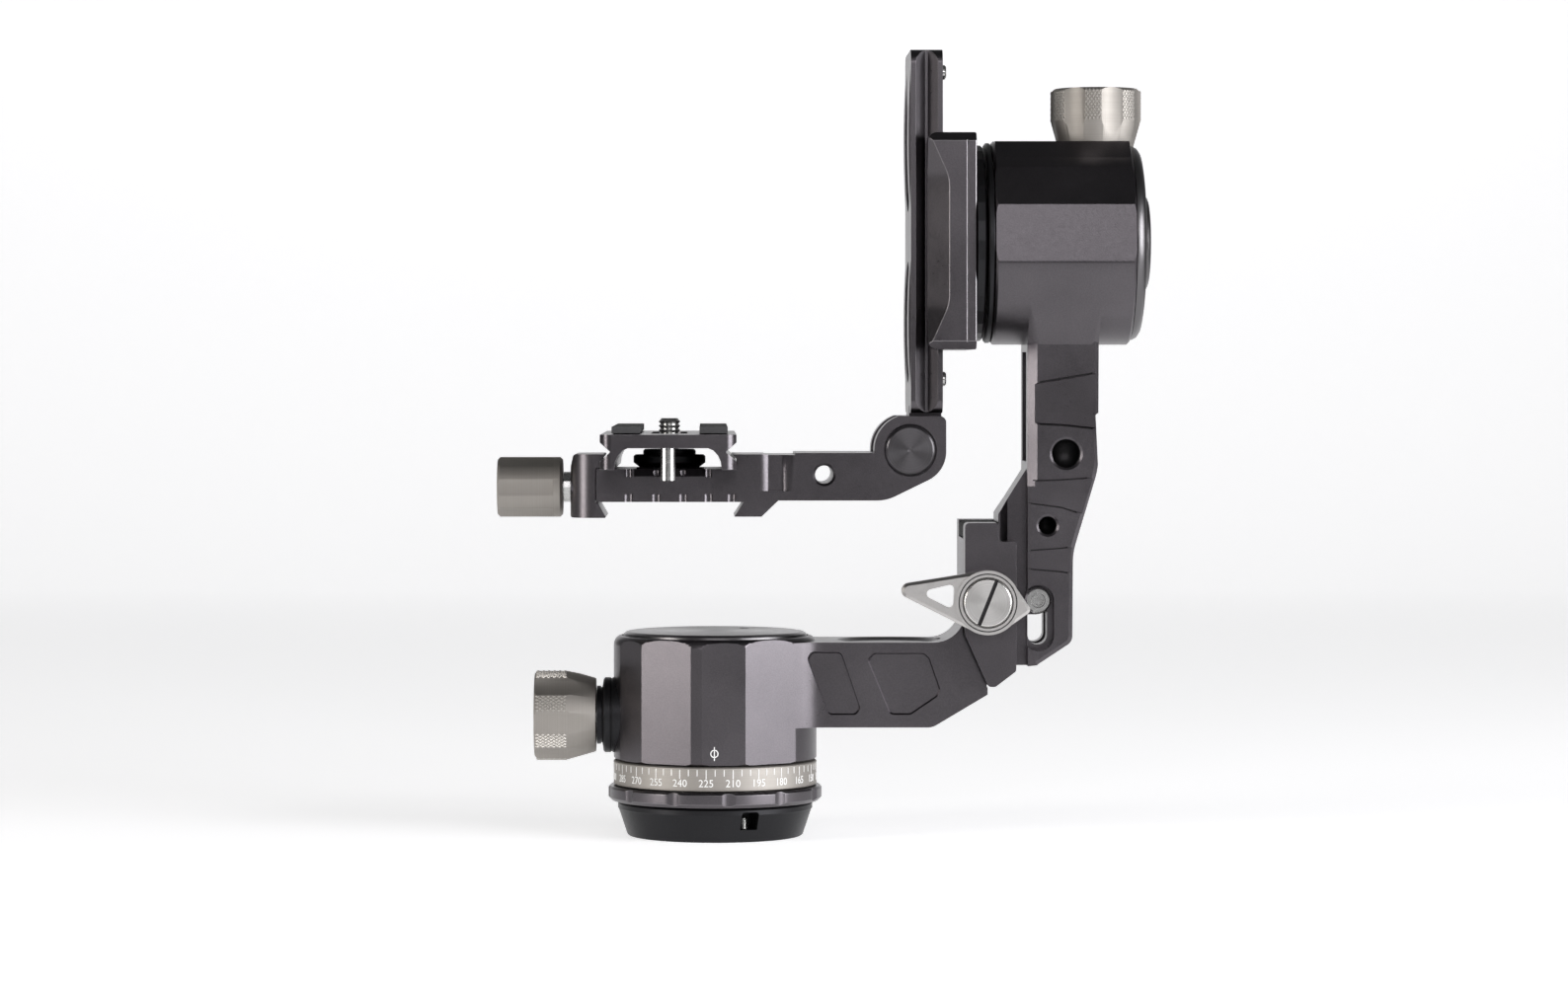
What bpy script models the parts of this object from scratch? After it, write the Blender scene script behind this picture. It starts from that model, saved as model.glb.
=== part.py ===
"""Gimbal tripod head, modelled as the separate pieces it comes apart into.

Units are metres, +Z is up. The origin is the pan axis on the bottom face of the base.
Seen from the front (looking along +Y) the platform is on the left and the tilt drum on the right.
"""
import bpy
import bmesh
from math import cos, pi, radians, sin, sqrt, tan, atan2
from mathutils import Matrix, Vector

# Fits shared by all pieces
GAP = 0.0003            # between pieces that touch
RUNNING_GAP = 0.0005    # between pieces that turn or slide past each other
OVERRUN = 0.002         # how far a cutter reaches past what it cuts
EDGE = 0.0004           # small broken edge

# Base
BASE_HEIGHT = 0.0099
BASE_BOTTOM_RADIUS = 0.0251
BASE_TOP_RADIUS = 0.0281
BASE_BAND_HEIGHT = 0.0019
BUSHING_RADIUS = 0.0075
TRIPOD_THREAD_RADIUS = 0.0044
FLANGE_RADIUS = 0.0308
FLANGE_HEIGHT = 0.0043
SCALE_RING_RADIUS = 0.02935
SCALE_RING_HEIGHT = 0.0069
NOTCH_WIDTH = 0.0052
NOTCH_BOTTOM = 0.0017
NOTCH_TOP = 0.0072
NOTCH_DEPTH = 0.0052
SET_SCREW_RADIUS = 0.0014
BASE_SCREW_CIRCLE = 0.0160
BASE_SCREW_RADIUS = 0.0015
BASE_SCREW_TOP = 0.0125
BASE_SCREW_HEAD_RADIUS = 0.0029
BASE_SCREW_HEAD_HEIGHT = 0.0020
BASE_SCREW_SOCKET_RADIUS = 0.0011
LOBE_NOTCH_RADIUS = 0.0042
LOBE_NOTCH_DEPTH = 0.0005

# Pan bearing stack
HUB_RADIUS = 0.0230
HUB_HEIGHT = 0.0088
WASHER_THICKNESS = 0.0012
PAN_SHAFT_RADIUS = 0.0120
PAN_TOP_SHAFT_RADIUS = 0.0090
PAN_THREAD_RADIUS = 0.0070
PAN_BEARING_WIDTH = 0.0050
PAN_LOWER_BEARING_RADIUS = 0.0165
PAN_UPPER_BEARING_RADIUS = 0.0150
PAN_NUT_HEIGHT = 0.0045
PAN_NUT_RADIUS = 0.0115
BRAKE_LAND = 0.0024            # bore left between the brake shoe and a bearing seat

# Pan housing and lower arm
HOUSING_RADIUS = 0.0293
HOUSING_HEADROOM = 0.0069      # from the spindle nut to the housing's top
TOP_CAP_RADIUS = 0.0266
TOP_CAP_RISE = 0.0012
CAP_PIN_HOLE_RADIUS = 0.0010
CAP_PIN_HOLE_X = 0.0085
CAP_PIN_HOLE_Y = 0.0120
ARM_THICKNESS = 0.030
ARM_TOP_DROP = 0.0014          # from the housing's top to the arm's
LOWER_ARM_HEIGHT = 0.0243
ARM_ROOT_X = 0.0200
ARM_UNDERSIDE_TURN_X = 0.0621
ARM_UNDERSIDE_END_X = 0.0779
ARM_UNDERSIDE_END_RISE = 0.0094
ARM_TOP_FILLET = 0.0090
DISH_X = 0.0500
DISH_RADIUS = 0.0140
DISH_DEPTH = 0.0008
POCKET_DEPTH = 0.0009

# Pan and tilt lock knobs
KNOB_RADIUS = 0.0129
KNOB_LENGTH = 0.0177
KNOB_GRIP_LENGTH = 0.0096
KNOB_NECK_RADIUS = 0.0105
KNOB_CHAMFER = 0.0008
KNOB_BORE_DEPTH = 0.0100
FLUTE_COUNT = 7
FLUTE_FLOOR_RADIUS = 0.01185
FLUTE_CUTTER_RADIUS = 0.0095
LOCK_SCREW_RADIUS = 0.0026
SHOE_RADIUS = 0.0040
PAN_KNOB_HEIGHT = 0.0346
PAN_KNOB_FACE_X = -0.0344
COLLAR_RADIUS = 0.01085
COLLAR_FACE_X = -0.0322

# Arm clamp block
BLOCK_LEFT_X = 0.0711
BLOCK_RIGHT_X = 0.0857
BLOCK_TOP = 0.0907
BLOCK_HALF_DEPTH = 0.0210
TONGUE_LEFT_X = 0.0812
TONGUE_FLANGE = 0.0006
TONGUE_HALF_WIDTH = 0.0110
TONGUE_NECK_HALF_WIDTH = 0.0088
LEVER_X = 0.07735
LEVER_DROP = 0.02255           # from the block's top to the lever's bolt
LEVER_RADIUS = 0.0091
LEVER_THICKNESS = 0.0042
LEVER_TIP_REACH = 0.02225
LEVER_TIP_RISE = 0.00345
LEVER_TIP_RADIUS = 0.0022
LEVER_LOBE_REACH = 0.01065
LEVER_LOBE_DROP = 0.00195
LEVER_LOBE_RADIUS = 0.0014
LEVER_WINDOW_CORNER = 0.0012
BOLT_HEAD_RADIUS = 0.00695
BOLT_RADIUS = 0.0025
BOLT_SLOT_WIDTH = 0.0011
BOLT_SLOT_DEPTH = 0.0012

SHOE_LENGTH = 0.0055
SHOE_TIP_REACH = PAN_SHAFT_RADIUS + GAP
SHOE_TRAVEL = 0.0005
COLLAR_SEAT_REACH = 0.0250
COLLAR_NECK_RADIUS = 0.0084
CLAMP_CAP_HEIGHT = 0.0045
BOLT_NUT_RADIUS = 0.0046
BOLT_NUT_HEIGHT = 0.0040
JAW_PIN_COVER = 0.0020
POCKET_CORNER = 0.0009
JAW_LEFT_BOTTOM = 0.0589
JAW_TIP_LEFT_X = 0.0778
JAW_TIP_RIGHT_X = 0.0798
JAW_TIP_BOTTOM = 0.0440
JAW_TIP_RISE = 0.0045
JAW_NOTCH_X = 0.0806
JAW_NOTCH_HEIGHT = 0.0054
JAW_NOTCH_CORNER = 0.0012

# Upper arm
UPPER_ARM_LEFT_X = 0.0894
UPPER_ARM_RIGHT_X = 0.1098
UPPER_ARM_BOTTOM = 0.0495
UPPER_ARM_CHAMFER = 0.0022
ARM_HEEL_X = 0.0921
ARM_HEEL_HEIGHT = 0.0498
ARM_FOOT_X = 0.1022
ARM_FOOT_HEIGHT = 0.0565
ARM_ELBOW_X = 0.1024
ARM_ELBOW_HEIGHT = 0.0820
ARM_KNEE_X = 0.1095
ARM_KNEE_HEIGHT = 0.1063
ARM_STEP_X = 0.1089
ARM_STEP_HEIGHT = 0.1215
TONGUE_SLOPE_BOTTOM = 0.0918
TONGUE_SLOPE_TOP = 0.1059
CHANNEL_DEPTH = 0.0020
CHANNEL_HALF_WIDTH = 0.0080
CHANNEL_BOTTOM = 0.1080
CHANNEL_TOP = 0.1395
PIVOT_X = 0.0924
PIVOT_HEIGHT = 0.0683
PIVOT_RADIUS = 0.0025
LIFT_TRAVEL = 0.0100
EAR_RADIUS = 0.0045
EAR_THICKNESS = 0.0080
SCREW_HEAD_RADIUS = 0.00375
SCREW_HEAD_HEIGHT = 0.0032
PIVOT_POCKET_DEPTH = 0.0045
PIVOT_POCKET_RADIUS = 0.0045
PIVOT_SOCKET_RADIUS = 0.0018
PIVOT_SOCKET_DEPTH = 0.0016
LARGE_HOLE_RADIUS = 0.0041
LARGE_HOLE_X = 0.1004
LARGE_HOLE_HEIGHT = 0.1104
SMALL_HOLE_RADIUS = 0.0026
SMALL_HOLE_X = 0.0951
SMALL_HOLE_HEIGHT = 0.0898
HOLE_DEPTH = 0.0100

# Tilt drum
TILT_HEIGHT = 0.1710
DRUM_RADIUS = 0.0294
DRUM_LEFT_X = 0.0796
DRUM_RIGHT_X = 0.1194
DRUM_BORE_RADIUS = 0.0132
TILT_SHAFT_RADIUS = 0.0126
TILT_BEARING_RADIUS = 0.0190
TILT_BEARING_WIDTH = 0.0035
TILT_FLANGE_RADIUS = 0.0283
TILT_FLANGE_THICKNESS = 0.0024
TILT_THREAD_RADIUS = 0.0080
TILT_NUT_RADIUS = 0.0125
TILT_NUT_HEIGHT = 0.0016
DRUM_COVER_RADIUS = 0.0289
DRUM_COVER_THICKNESS = 0.0017
END_CAP_RADIUS = 0.0280
END_CAP_RISE = 0.0029
END_CAP_WALL = 0.0008
BOSS_RADIUS = 0.0137
BOSS_RISE = 0.0020
TILT_KNOB_X = 0.1100
TILT_KNOB_RISE = 0.0283         # from the tilt axis to the knob's foot

# Rail clamp and rail
RAIL_LEFT_X = 0.0558
RAIL_THICKNESS = 0.0091
RAIL_HALF_WIDTH = 0.0190
RAIL_WINDOW_HALF_WIDTH = 0.0075
RAIL_TOP = 0.2259
RAIL_GROOVE_DEPTH = 0.0027
RAIL_LIP = 0.0014
RAIL_CLAMP_LEFT_X = 0.0604
RAIL_CLAMP_RIGHT_X = 0.0742
RAIL_CLAMP_HALF_HEIGHT = 0.0309
RAIL_CLAMP_HALF_DEPTH = 0.0260
RAIL_CLAMP_SPLIT_Y = 0.0150
RAIL_PIN_RISE = 0.0201
RAIL_KNOB_RADIUS = 0.0090
RAIL_KNOB_LENGTH = 0.0180
RAIL_KNOB_STEM = 0.0035
RAIL_SCREW_LENGTH = 0.0330
PLAIN_KNOB_CHAMFER = 0.0007
PLAIN_KNOB_BORE_DEPTH = 0.0080
CLAMP_SCREW_REACH = 0.0080
CLAMP_SCREW_RADIUS = 0.0015
CLAMP_SCREW_HEAD_RADIUS = 0.0027
CLAMP_SCREW_HEAD_HEIGHT = 0.0020
CLAMP_SCREW_THREAD = 0.0060
STOP_SCREW_RADIUS = 0.0021
STOP_SCREW_HEIGHT = 0.0010
STOP_SHANK_RADIUS = 0.0010
STOP_SHANK_DEPTH = 0.0030

# Platform
HINGE_X = 0.05567
HINGE_HEIGHT = 0.11136
KNUCKLE_RISE = 0.01064         # from the hinge to the rail's bottom edge
EAR_OUTER_RADIUS = 0.0103
EAR_TOP_RISE = 0.0091
EAR_CORNER = 0.0018
HINGE_CAP_RADIUS = 0.00705
HINGE_PIN_RADIUS = 0.0038
KNUCKLE_HALF_WIDTH = 0.0090
PLATFORM_HALF_DEPTH = 0.0180
HINGE_RISE = 0.00076           # from the bar's top to the hinge
BAR_THICKNESS = 0.0136
BAR_STEP_X = 0.0228
BAR_STEP_DROP = 0.0006
BAR_HOLE_X = 0.0311
BAR_HOLE_DROP = 0.0062
BAR_HOLE_RADIUS = 0.0026
BED_TOP_DROP = 0.0046
BED_THICKNESS = 0.0094
BED_RECESS_DEPTH = 0.0018
SCALLOP_RADIUS = 0.0052
SCALLOP_DEPTH = 0.0009
CLAMP_BED_LEFT_X = -0.0340
JAW_TOP_DROP = 0.0004
JAW_HALF_LENGTH = 0.0170
JAW_HOOK_REACH = 0.0013
JAW_FOOT_REACH = 0.0032
JAW_CHAMFER = 0.0017
FIXED_JAW_LEFT_X = 0.00475
FIXED_JAW_RIGHT_X = 0.0146
FOOT_LEFT_X = 0.00545
FOOT_INNER_X = 0.0082
FOOT_RIGHT_X = 0.0132
FOOT_ROOT_X = 0.0180
FOOT_DROP = 0.0042
MOVING_JAW_LEFT_X = -0.0415
MOVING_JAW_DROP = 0.0046
PLATFORM_SCREW_SHARE = 0.415    # of the bed's thickness, from below
PLATFORM_KNOB_RADIUS = 0.00865
PLATFORM_KNOB_LENGTH = 0.0188
PLATFORM_KNOB_FACE_X = -0.0440
STEM_RADIUS = 0.0044
GUIDE_PIN_RADIUS = 0.0018
HINGE_CAP_THICKNESS = 0.0027
PLATFORM_PIN_REACH = 0.0110
PLATFORM_PIN_PROUD = 0.0070
PLATFORM_SCREW_REACH = 0.0360
PLATFORM_SCREW_LENGTH = 0.0265

# Quick-release plate
PLATE_X = -0.0132
PLATE_HALF_WIDTH = 0.0191
PLATE_HALF_LENGTH = 0.0500
PLATE_RISE = 0.0056            # from the bar's top to the plate's
PLATE_HEIGHT = 0.0098
PLATE_GROOVE_DEPTH = 0.0029
PLATE_LIP = 0.0022
PLATE_WEB = 0.0042
PIN_END_MARGIN = 0.0030
STOP_PIN_DROP = 0.0030
PAD_THICKNESS = 0.0018
CAMERA_THREAD_RADIUS = 0.003175
CAMERA_THREAD_RISE = 0.0042
CAMERA_HEAD_RADIUS = 0.0076
CAMERA_RING_RADIUS = 0.0104
STOP_PIN_RADIUS = 0.00205

# Heights and places that follow from the sizes above
FLANGE_BOTTOM = BASE_HEIGHT + GAP
RING_BOTTOM = FLANGE_BOTTOM + FLANGE_HEIGHT + GAP
RING_TOP = RING_BOTTOM + SCALE_RING_HEIGHT
HOUSING_BOTTOM = RING_TOP + RUNNING_GAP
HUB_TOP = FLANGE_BOTTOM + HUB_HEIGHT
WASHER_TOP = HUB_TOP + GAP + WASHER_THICKNESS
PAN_LOWER_BEARING_BOTTOM = WASHER_TOP + GAP
PAN_LOWER_BEARING_TOP = PAN_LOWER_BEARING_BOTTOM + PAN_BEARING_WIDTH
PAN_UPPER_BEARING_BOTTOM = PAN_KNOB_HEIGHT + SHOE_RADIUS + BRAKE_LAND
PAN_UPPER_BEARING_TOP = PAN_UPPER_BEARING_BOTTOM + PAN_BEARING_WIDTH
PAN_NUT_TOP = PAN_UPPER_BEARING_TOP + GAP + PAN_NUT_HEIGHT
HOUSING_TOP = PAN_NUT_TOP + HOUSING_HEADROOM
LOWER_ARM_TOP = HOUSING_TOP - ARM_TOP_DROP
LOWER_ARM_BOTTOM = LOWER_ARM_TOP - LOWER_ARM_HEIGHT
LEVER_HEIGHT = BLOCK_TOP - LEVER_DROP
LOWER_PIN_HEIGHT = JAW_TIP_BOTTOM + 2 * JAW_TIP_RISE
UPPER_PIN_HEIGHT = BLOCK_TOP - CLAMP_CAP_HEIGHT - 2 * GUIDE_PIN_RADIUS
TILT_KNOB_FOOT_HEIGHT = TILT_HEIGHT + TILT_KNOB_RISE
ARM_HALF = ARM_THICKNESS / 2
RAIL_RIGHT_X = RAIL_LEFT_X + RAIL_THICKNESS
RAIL_SEAT_X = RAIL_RIGHT_X + GAP
TILT_FLANGE_LEFT_X = RAIL_CLAMP_RIGHT_X + GAP
TILT_FLANGE_RIGHT_X = TILT_FLANGE_LEFT_X + TILT_FLANGE_THICKNESS
RAIL_BOTTOM = HINGE_HEIGHT + KNUCKLE_RISE
BAR_TOP = HINGE_HEIGHT - HINGE_RISE
BAR_BOTTOM = BAR_TOP - BAR_THICKNESS
CLAMP_BED_TOP = BAR_TOP - BED_TOP_DROP
CLAMP_BED_BOTTOM = CLAMP_BED_TOP - BED_THICKNESS
JAW_TOP = BAR_TOP - JAW_TOP_DROP
PLATFORM_SCREW_HEIGHT = CLAMP_BED_BOTTOM + PLATFORM_SCREW_SHARE * BED_THICKNESS
PLATE_TOP = BAR_TOP + PLATE_RISE
PLATE_BOTTOM = PLATE_TOP - PLATE_HEIGHT
LEFT_BEARING_LEFT_X = DRUM_LEFT_X + RUNNING_GAP
RIGHT_BEARING_LEFT_X = DRUM_RIGHT_X - RUNNING_GAP - TILT_BEARING_WIDTH

ROUND = 32
FINE_ROUND = 40
SMALL_ROUND = 16
TINY_ROUND = 10

for old in list(bpy.data.objects):
    bpy.data.objects.remove(old, do_unlink=True)

PARTS = bpy.data.collections.new("gimbal_tripod_head")
CUTTERS = bpy.data.collections.new("cutters")
bpy.context.scene.collection.children.link(PARTS)
bpy.context.scene.collection.children.link(CUTTERS)


def make_material(name, colour, roughness, metallic):
    material = bpy.data.materials.new(name)
    material.use_nodes = True
    shader = material.node_tree.nodes["Principled BSDF"]
    shader.inputs["Base Color"].default_value = (*colour, 1.0)
    shader.inputs["Roughness"].default_value = roughness
    shader.inputs["Metallic"].default_value = metallic
    material.diffuse_color = (*colour, 1.0)
    return material


ANODISED = make_material("anodised_dark_grey", (0.090, 0.085, 0.092), 0.42, 0.85)
BLACK = make_material("anodised_black", (0.012, 0.012, 0.013), 0.40, 0.6)
TITANIUM = make_material("anodised_titanium", (0.33, 0.31, 0.29), 0.36, 1.0)
SATIN = make_material("satin_aluminium", (0.52, 0.50, 0.48), 0.34, 1.0)
STEEL = make_material("steel", (0.55, 0.55, 0.54), 0.28, 1.0)
BRASS = make_material("brass", (0.55, 0.38, 0.14), 0.35, 1.0)
RUBBER = make_material("rubber", (0.020, 0.020, 0.021), 0.85, 0.0)
POLYMER = make_material("white_polymer", (0.75, 0.74, 0.70), 0.50, 0.0)

AXIS_TURN = {"Z": (0, 0, 0), "X": (0, pi / 2, 0), "Y": (-pi / 2, 0, 0)}
PLANE_TURN = {
    "Z": Matrix(((1, 0, 0), (0, 1, 0), (0, 0, 1))),
    "Y": Matrix(((1, 0, 0), (0, 0, -1), (0, 1, 0))),
    "X": Matrix(((0, 0, 1), (1, 0, 0), (0, 1, 0))),
}


def add_object(name, mesh):
    made = bpy.data.objects.new(name, mesh)
    PARTS.objects.link(made)
    return made


def adopt(name):
    """Takes the object that an operator has just added into the parts collection."""
    made = bpy.context.object
    made.name = name
    made.data.name = name
    for collection in list(made.users_collection):
        collection.objects.unlink(made)
    PARTS.objects.link(made)
    return made


def turned(name, profile, origin=(0, 0, 0), axis="Z", steps=ROUND):
    """A turned piece. The profile's (radius, height) points run down its outer side."""
    mesh = bpy.data.meshes.new(name)
    points = [(radius, 0, height) for radius, height in profile]
    last = len(points) - 1
    edges = [(index, index + 1) for index in range(last)]
    if profile[0][0] > 0 or profile[-1][0] > 0:
        edges.append((last, 0))
    mesh.from_pydata(points, edges, [])
    made = add_object(name, mesh)
    made.location = origin
    made.rotation_euler = AXIS_TURN[axis]
    screw = made.modifiers.new("turn", "SCREW")
    screw.axis = "Z"
    screw.angle = 2 * pi
    screw.steps = steps
    screw.render_steps = steps
    screw.use_merge_vertices = True
    screw.merge_threshold = 0.00001
    screw.use_smooth_shade = True
    return made


def ring(name, outer, inner, low, high, origin=(0, 0, 0), axis="Z", steps=ROUND, edge=EDGE):
    """A turned ring, with broken outer edges unless the edge is zero."""
    profile = [(inner, high), (outer, high), (outer, low), (inner, low)]
    if edge:
        profile[1:3] = [(outer - edge, high), (outer, high - edge), (outer, low + edge), (outer - edge, low)]
    return turned(name, profile, origin, axis, steps)


def rod(name, radius, start, length, axis, steps=SMALL_ROUND):
    """A cylinder that starts at a point and runs along +axis."""
    direction = Vector((axis == "X", axis == "Y", axis == "Z"))
    centre = Vector(start) + direction * length / 2
    bpy.ops.mesh.primitive_cylinder_add(vertices=steps, radius=radius, depth=length,
                                        location=centre, rotation=AXIS_TURN[axis])
    return adopt(name)


def block(name, low, high):
    """A box between two corners."""
    low, high = Vector(low), Vector(high)
    bpy.ops.mesh.primitive_cube_add(size=1, location=(low + high) / 2)
    made = adopt(name)
    made.data.transform(Matrix.Diagonal((*(high - low), 1)))
    return made


def arc(centre, radius, start, end, steps):
    """Points along an arc, angles in degrees from the outline's first axis."""
    angles = [radians(start + (end - start) * step / steps) for step in range(steps + 1)]
    return [(centre[0] + radius * cos(angle), centre[1] + radius * sin(angle)) for angle in angles]


def rounded(corners, steps=4):
    """An outline whose (x, y, radius) corners are rounded with arcs."""
    outline = []
    for index, (x, y, radius) in enumerate(corners):
        here = Vector((x, y))
        if radius == 0:
            outline.append((x, y))
            continue
        before = Vector(corners[index - 1][:2]) - here
        after = Vector(corners[(index + 1) % len(corners)][:2]) - here
        half = before.angle(after) / 2
        setback = radius / tan(half)
        middle = here + (before.normalized() + after.normalized()).normalized() * radius / sin(half)
        first = here + before.normalized() * setback - middle
        last = here + after.normalized() * setback - middle
        turn = atan2(first.x * last.y - first.y * last.x, first.dot(last))
        for step in range(steps + 1):
            angle = turn * step / steps
            point = middle + Matrix.Rotation(angle, 2) @ first
            outline.append((point.x, point.y))
    return outline


def spread(shares, low, high, radius=0):
    """Corners of an outline from shares of a box between two corners."""
    return [(low[0] + x * (high[0] - low[0]), low[1] + y * (high[1] - low[1]), radius)
            for x, y in shares]


def prism(name, outline, low, high, normal="Y"):
    """A flat outline given thickness. Outlines are (x, z) for Y, (x, y) for Z and (y, z) for X."""
    curve = bpy.data.curves.new(name, "CURVE")
    curve.dimensions = "2D"
    curve.fill_mode = "BOTH"
    curve.extrude = (high - low) / 2
    spline = curve.splines.new("POLY")
    spline.points.add(len(outline) - 1)
    for point, place in zip(spline.points, outline):
        point.co = (place[0], place[1], 0, 1)
    spline.use_cyclic_u = True
    drawn = bpy.data.objects.new(name + "_outline", curve)
    PARTS.objects.link(drawn)
    graph = bpy.context.evaluated_depsgraph_get()
    mesh = bpy.data.meshes.new_from_object(drawn.evaluated_get(graph))
    bpy.data.objects.remove(drawn, do_unlink=True)
    bpy.data.curves.remove(curve)
    built = bmesh.new()
    built.from_mesh(mesh)
    bmesh.ops.remove_doubles(built, verts=built.verts, dist=0.000001)
    bmesh.ops.dissolve_limit(built, angle_limit=radians(0.5), verts=built.verts, edges=built.edges)
    bmesh.ops.recalc_face_normals(built, faces=built.faces)
    built.to_mesh(mesh)
    built.free()
    middle = (low + high) / 2
    shift = Matrix.Translation({"X": (middle, 0, 0), "Y": (0, middle, 0), "Z": (0, 0, middle)}[normal])
    mesh.transform(shift @ PLANE_TURN[normal].to_4x4())
    mesh.name = name
    return add_object(name, mesh)


def obround(centre_a, centre_b, radius, steps=8):
    """A slot's outline, with round ends about two centres on a vertical line."""
    low, high = sorted((centre_a, centre_b), key=lambda centre: centre[1])
    return arc(high, radius, 0, 180, steps) + arc(low, radius, 180, 360, steps)


def boolean(target, other, operation):
    change = target.modifiers.new(other.name, "BOOLEAN")
    change.operation = operation
    change.solver = "EXACT"
    change.object = other
    for collection in list(other.users_collection):
        collection.objects.unlink(other)
    CUTTERS.objects.link(other)
    other.hide_render = True
    other.display_type = "WIRE"
    helpers.setdefault(target.name, []).append(other)


def cut(target, *others):
    for other in others:
        boolean(target, other, "DIFFERENCE")


def add(target, *others):
    for other in others:
        boolean(target, other, "UNION")


def soften(target, width, segments=2, angle=30):
    bevel = target.modifiers.new("broken edges", "BEVEL")
    bevel.width = width
    bevel.segments = segments
    bevel.limit_method = "ANGLE"
    bevel.angle_limit = radians(angle)


def finish(target, material, joint):
    """Gives the piece its material and its place in the tree of joints."""
    target.data.materials.clear()
    target.data.materials.append(material)
    target.data.shade_smooth()
    target.data.set_sharp_from_angle(angle=radians(35))
    bpy.context.view_layer.update()
    for member in [target] + helpers.get(target.name, []):
        place = member.matrix_world.copy()
        member.parent = joint
        member.matrix_parent_inverse = joint.matrix_world.inverted()
        member.matrix_world = place
    return target


def joint_empty(name, place, parent=None):
    empty = bpy.data.objects.new(name, None)
    PARTS.objects.link(empty)
    empty.empty_display_size = GAP * ROUND
    empty.location = Vector(place) - (Vector(parent.matrix_world.translation) if parent else Vector())
    empty.parent = parent
    bpy.context.view_layer.update()
    return empty


helpers = {}


def base_pieces(joint):
    """Everything that stays still on the tripod."""
    hub_bore = TRIPOD_THREAD_RADIUS + GAP
    base = turned("base_plate", [
        (BUSHING_RADIUS + GAP, BASE_HEIGHT),
        (BASE_TOP_RADIUS, BASE_HEIGHT),
        (BASE_TOP_RADIUS, BASE_HEIGHT - BASE_BAND_HEIGHT),
        (BASE_BOTTOM_RADIUS + EDGE, EDGE),
        (BASE_BOTTOM_RADIUS, 0),
        (BUSHING_RADIUS + GAP, 0),
    ], steps=FINE_ROUND)

    notch_turn = radians(21)
    notch = block("base_notch",
                  (-NOTCH_WIDTH / 2, -BASE_TOP_RADIUS - OVERRUN, NOTCH_BOTTOM),
                  (NOTCH_WIDTH / 2, -BASE_BOTTOM_RADIUS - GAP + NOTCH_DEPTH, NOTCH_TOP))
    notch.data.transform(Matrix.Translation(notch.location))
    notch.location = (0, 0, 0)
    notch.rotation_euler.z = notch_turn
    cut(base, notch)
    set_screw_reach = BASE_BOTTOM_RADIUS - 2 * SET_SCREW_RADIUS
    finish(rod("base_set_screw", SET_SCREW_RADIUS,
               (set_screw_reach * sin(notch_turn), -set_screw_reach * cos(notch_turn), NOTCH_BOTTOM + GAP),
               NOTCH_TOP - NOTCH_BOTTOM - 2 * GAP, "Z"), STEEL, joint)

    screw_count = 3
    spindle = turned("pan_spindle", [
        (0, PAN_NUT_TOP + GAP),
        (PAN_THREAD_RADIUS - EDGE, PAN_NUT_TOP + GAP),
        (PAN_THREAD_RADIUS, PAN_NUT_TOP + GAP - EDGE),
        (PAN_THREAD_RADIUS, PAN_UPPER_BEARING_TOP),
        (PAN_TOP_SHAFT_RADIUS, PAN_UPPER_BEARING_TOP),
        (PAN_TOP_SHAFT_RADIUS, PAN_UPPER_BEARING_BOTTOM - GAP),
        (PAN_SHAFT_RADIUS, PAN_UPPER_BEARING_BOTTOM - GAP),
        (PAN_SHAFT_RADIUS, HUB_TOP),
        (HUB_RADIUS, HUB_TOP),
        (HUB_RADIUS, FLANGE_BOTTOM),
        (hub_bore, FLANGE_BOTTOM),
        (hub_bore, HUB_TOP),
        (0, HUB_TOP),
    ])
    for index in range(screw_count):
        angle = 2 * pi * (index + 0.5) / screw_count
        place = (BASE_SCREW_CIRCLE * cos(angle), BASE_SCREW_CIRCLE * sin(angle), 0)
        cut(base, turned(f"base_screw_hole_{index}", [
            (0, BASE_HEIGHT + OVERRUN),
            (BASE_SCREW_RADIUS + GAP, BASE_HEIGHT + OVERRUN),
            (BASE_SCREW_RADIUS + GAP, BASE_SCREW_HEAD_HEIGHT + GAP),
            (BASE_SCREW_HEAD_RADIUS + GAP, BASE_SCREW_HEAD_HEIGHT + GAP),
            (BASE_SCREW_HEAD_RADIUS + GAP, -OVERRUN),
            (0, -OVERRUN),
        ], place, steps=TINY_ROUND))
        cut(spindle, rod(f"hub_screw_hole_{index}", BASE_SCREW_RADIUS + GAP,
                         (place[0], place[1], FLANGE_BOTTOM - OVERRUN),
                         BASE_SCREW_TOP - FLANGE_BOTTOM + OVERRUN + GAP, "Z", TINY_ROUND))
        finish(turned(f"base_screw_{index + 1}", [
            (0, BASE_SCREW_TOP),
            (BASE_SCREW_RADIUS, BASE_SCREW_TOP),
            (BASE_SCREW_RADIUS, BASE_SCREW_HEAD_HEIGHT),
            (BASE_SCREW_HEAD_RADIUS, BASE_SCREW_HEAD_HEIGHT),
            (BASE_SCREW_HEAD_RADIUS, GAP),
            (BASE_SCREW_SOCKET_RADIUS, GAP),
            (BASE_SCREW_SOCKET_RADIUS, BASE_SCREW_HEAD_HEIGHT - EDGE),
            (0, BASE_SCREW_HEAD_HEIGHT - EDGE),
        ], place, steps=TINY_ROUND), STEEL, joint)
    finish(base, ANODISED, joint)
    finish(spindle, STEEL, joint)

    finish(ring("tripod_bushing", BUSHING_RADIUS, TRIPOD_THREAD_RADIUS, GAP, BASE_HEIGHT - GAP,
                steps=SMALL_ROUND), STEEL, joint)

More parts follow.
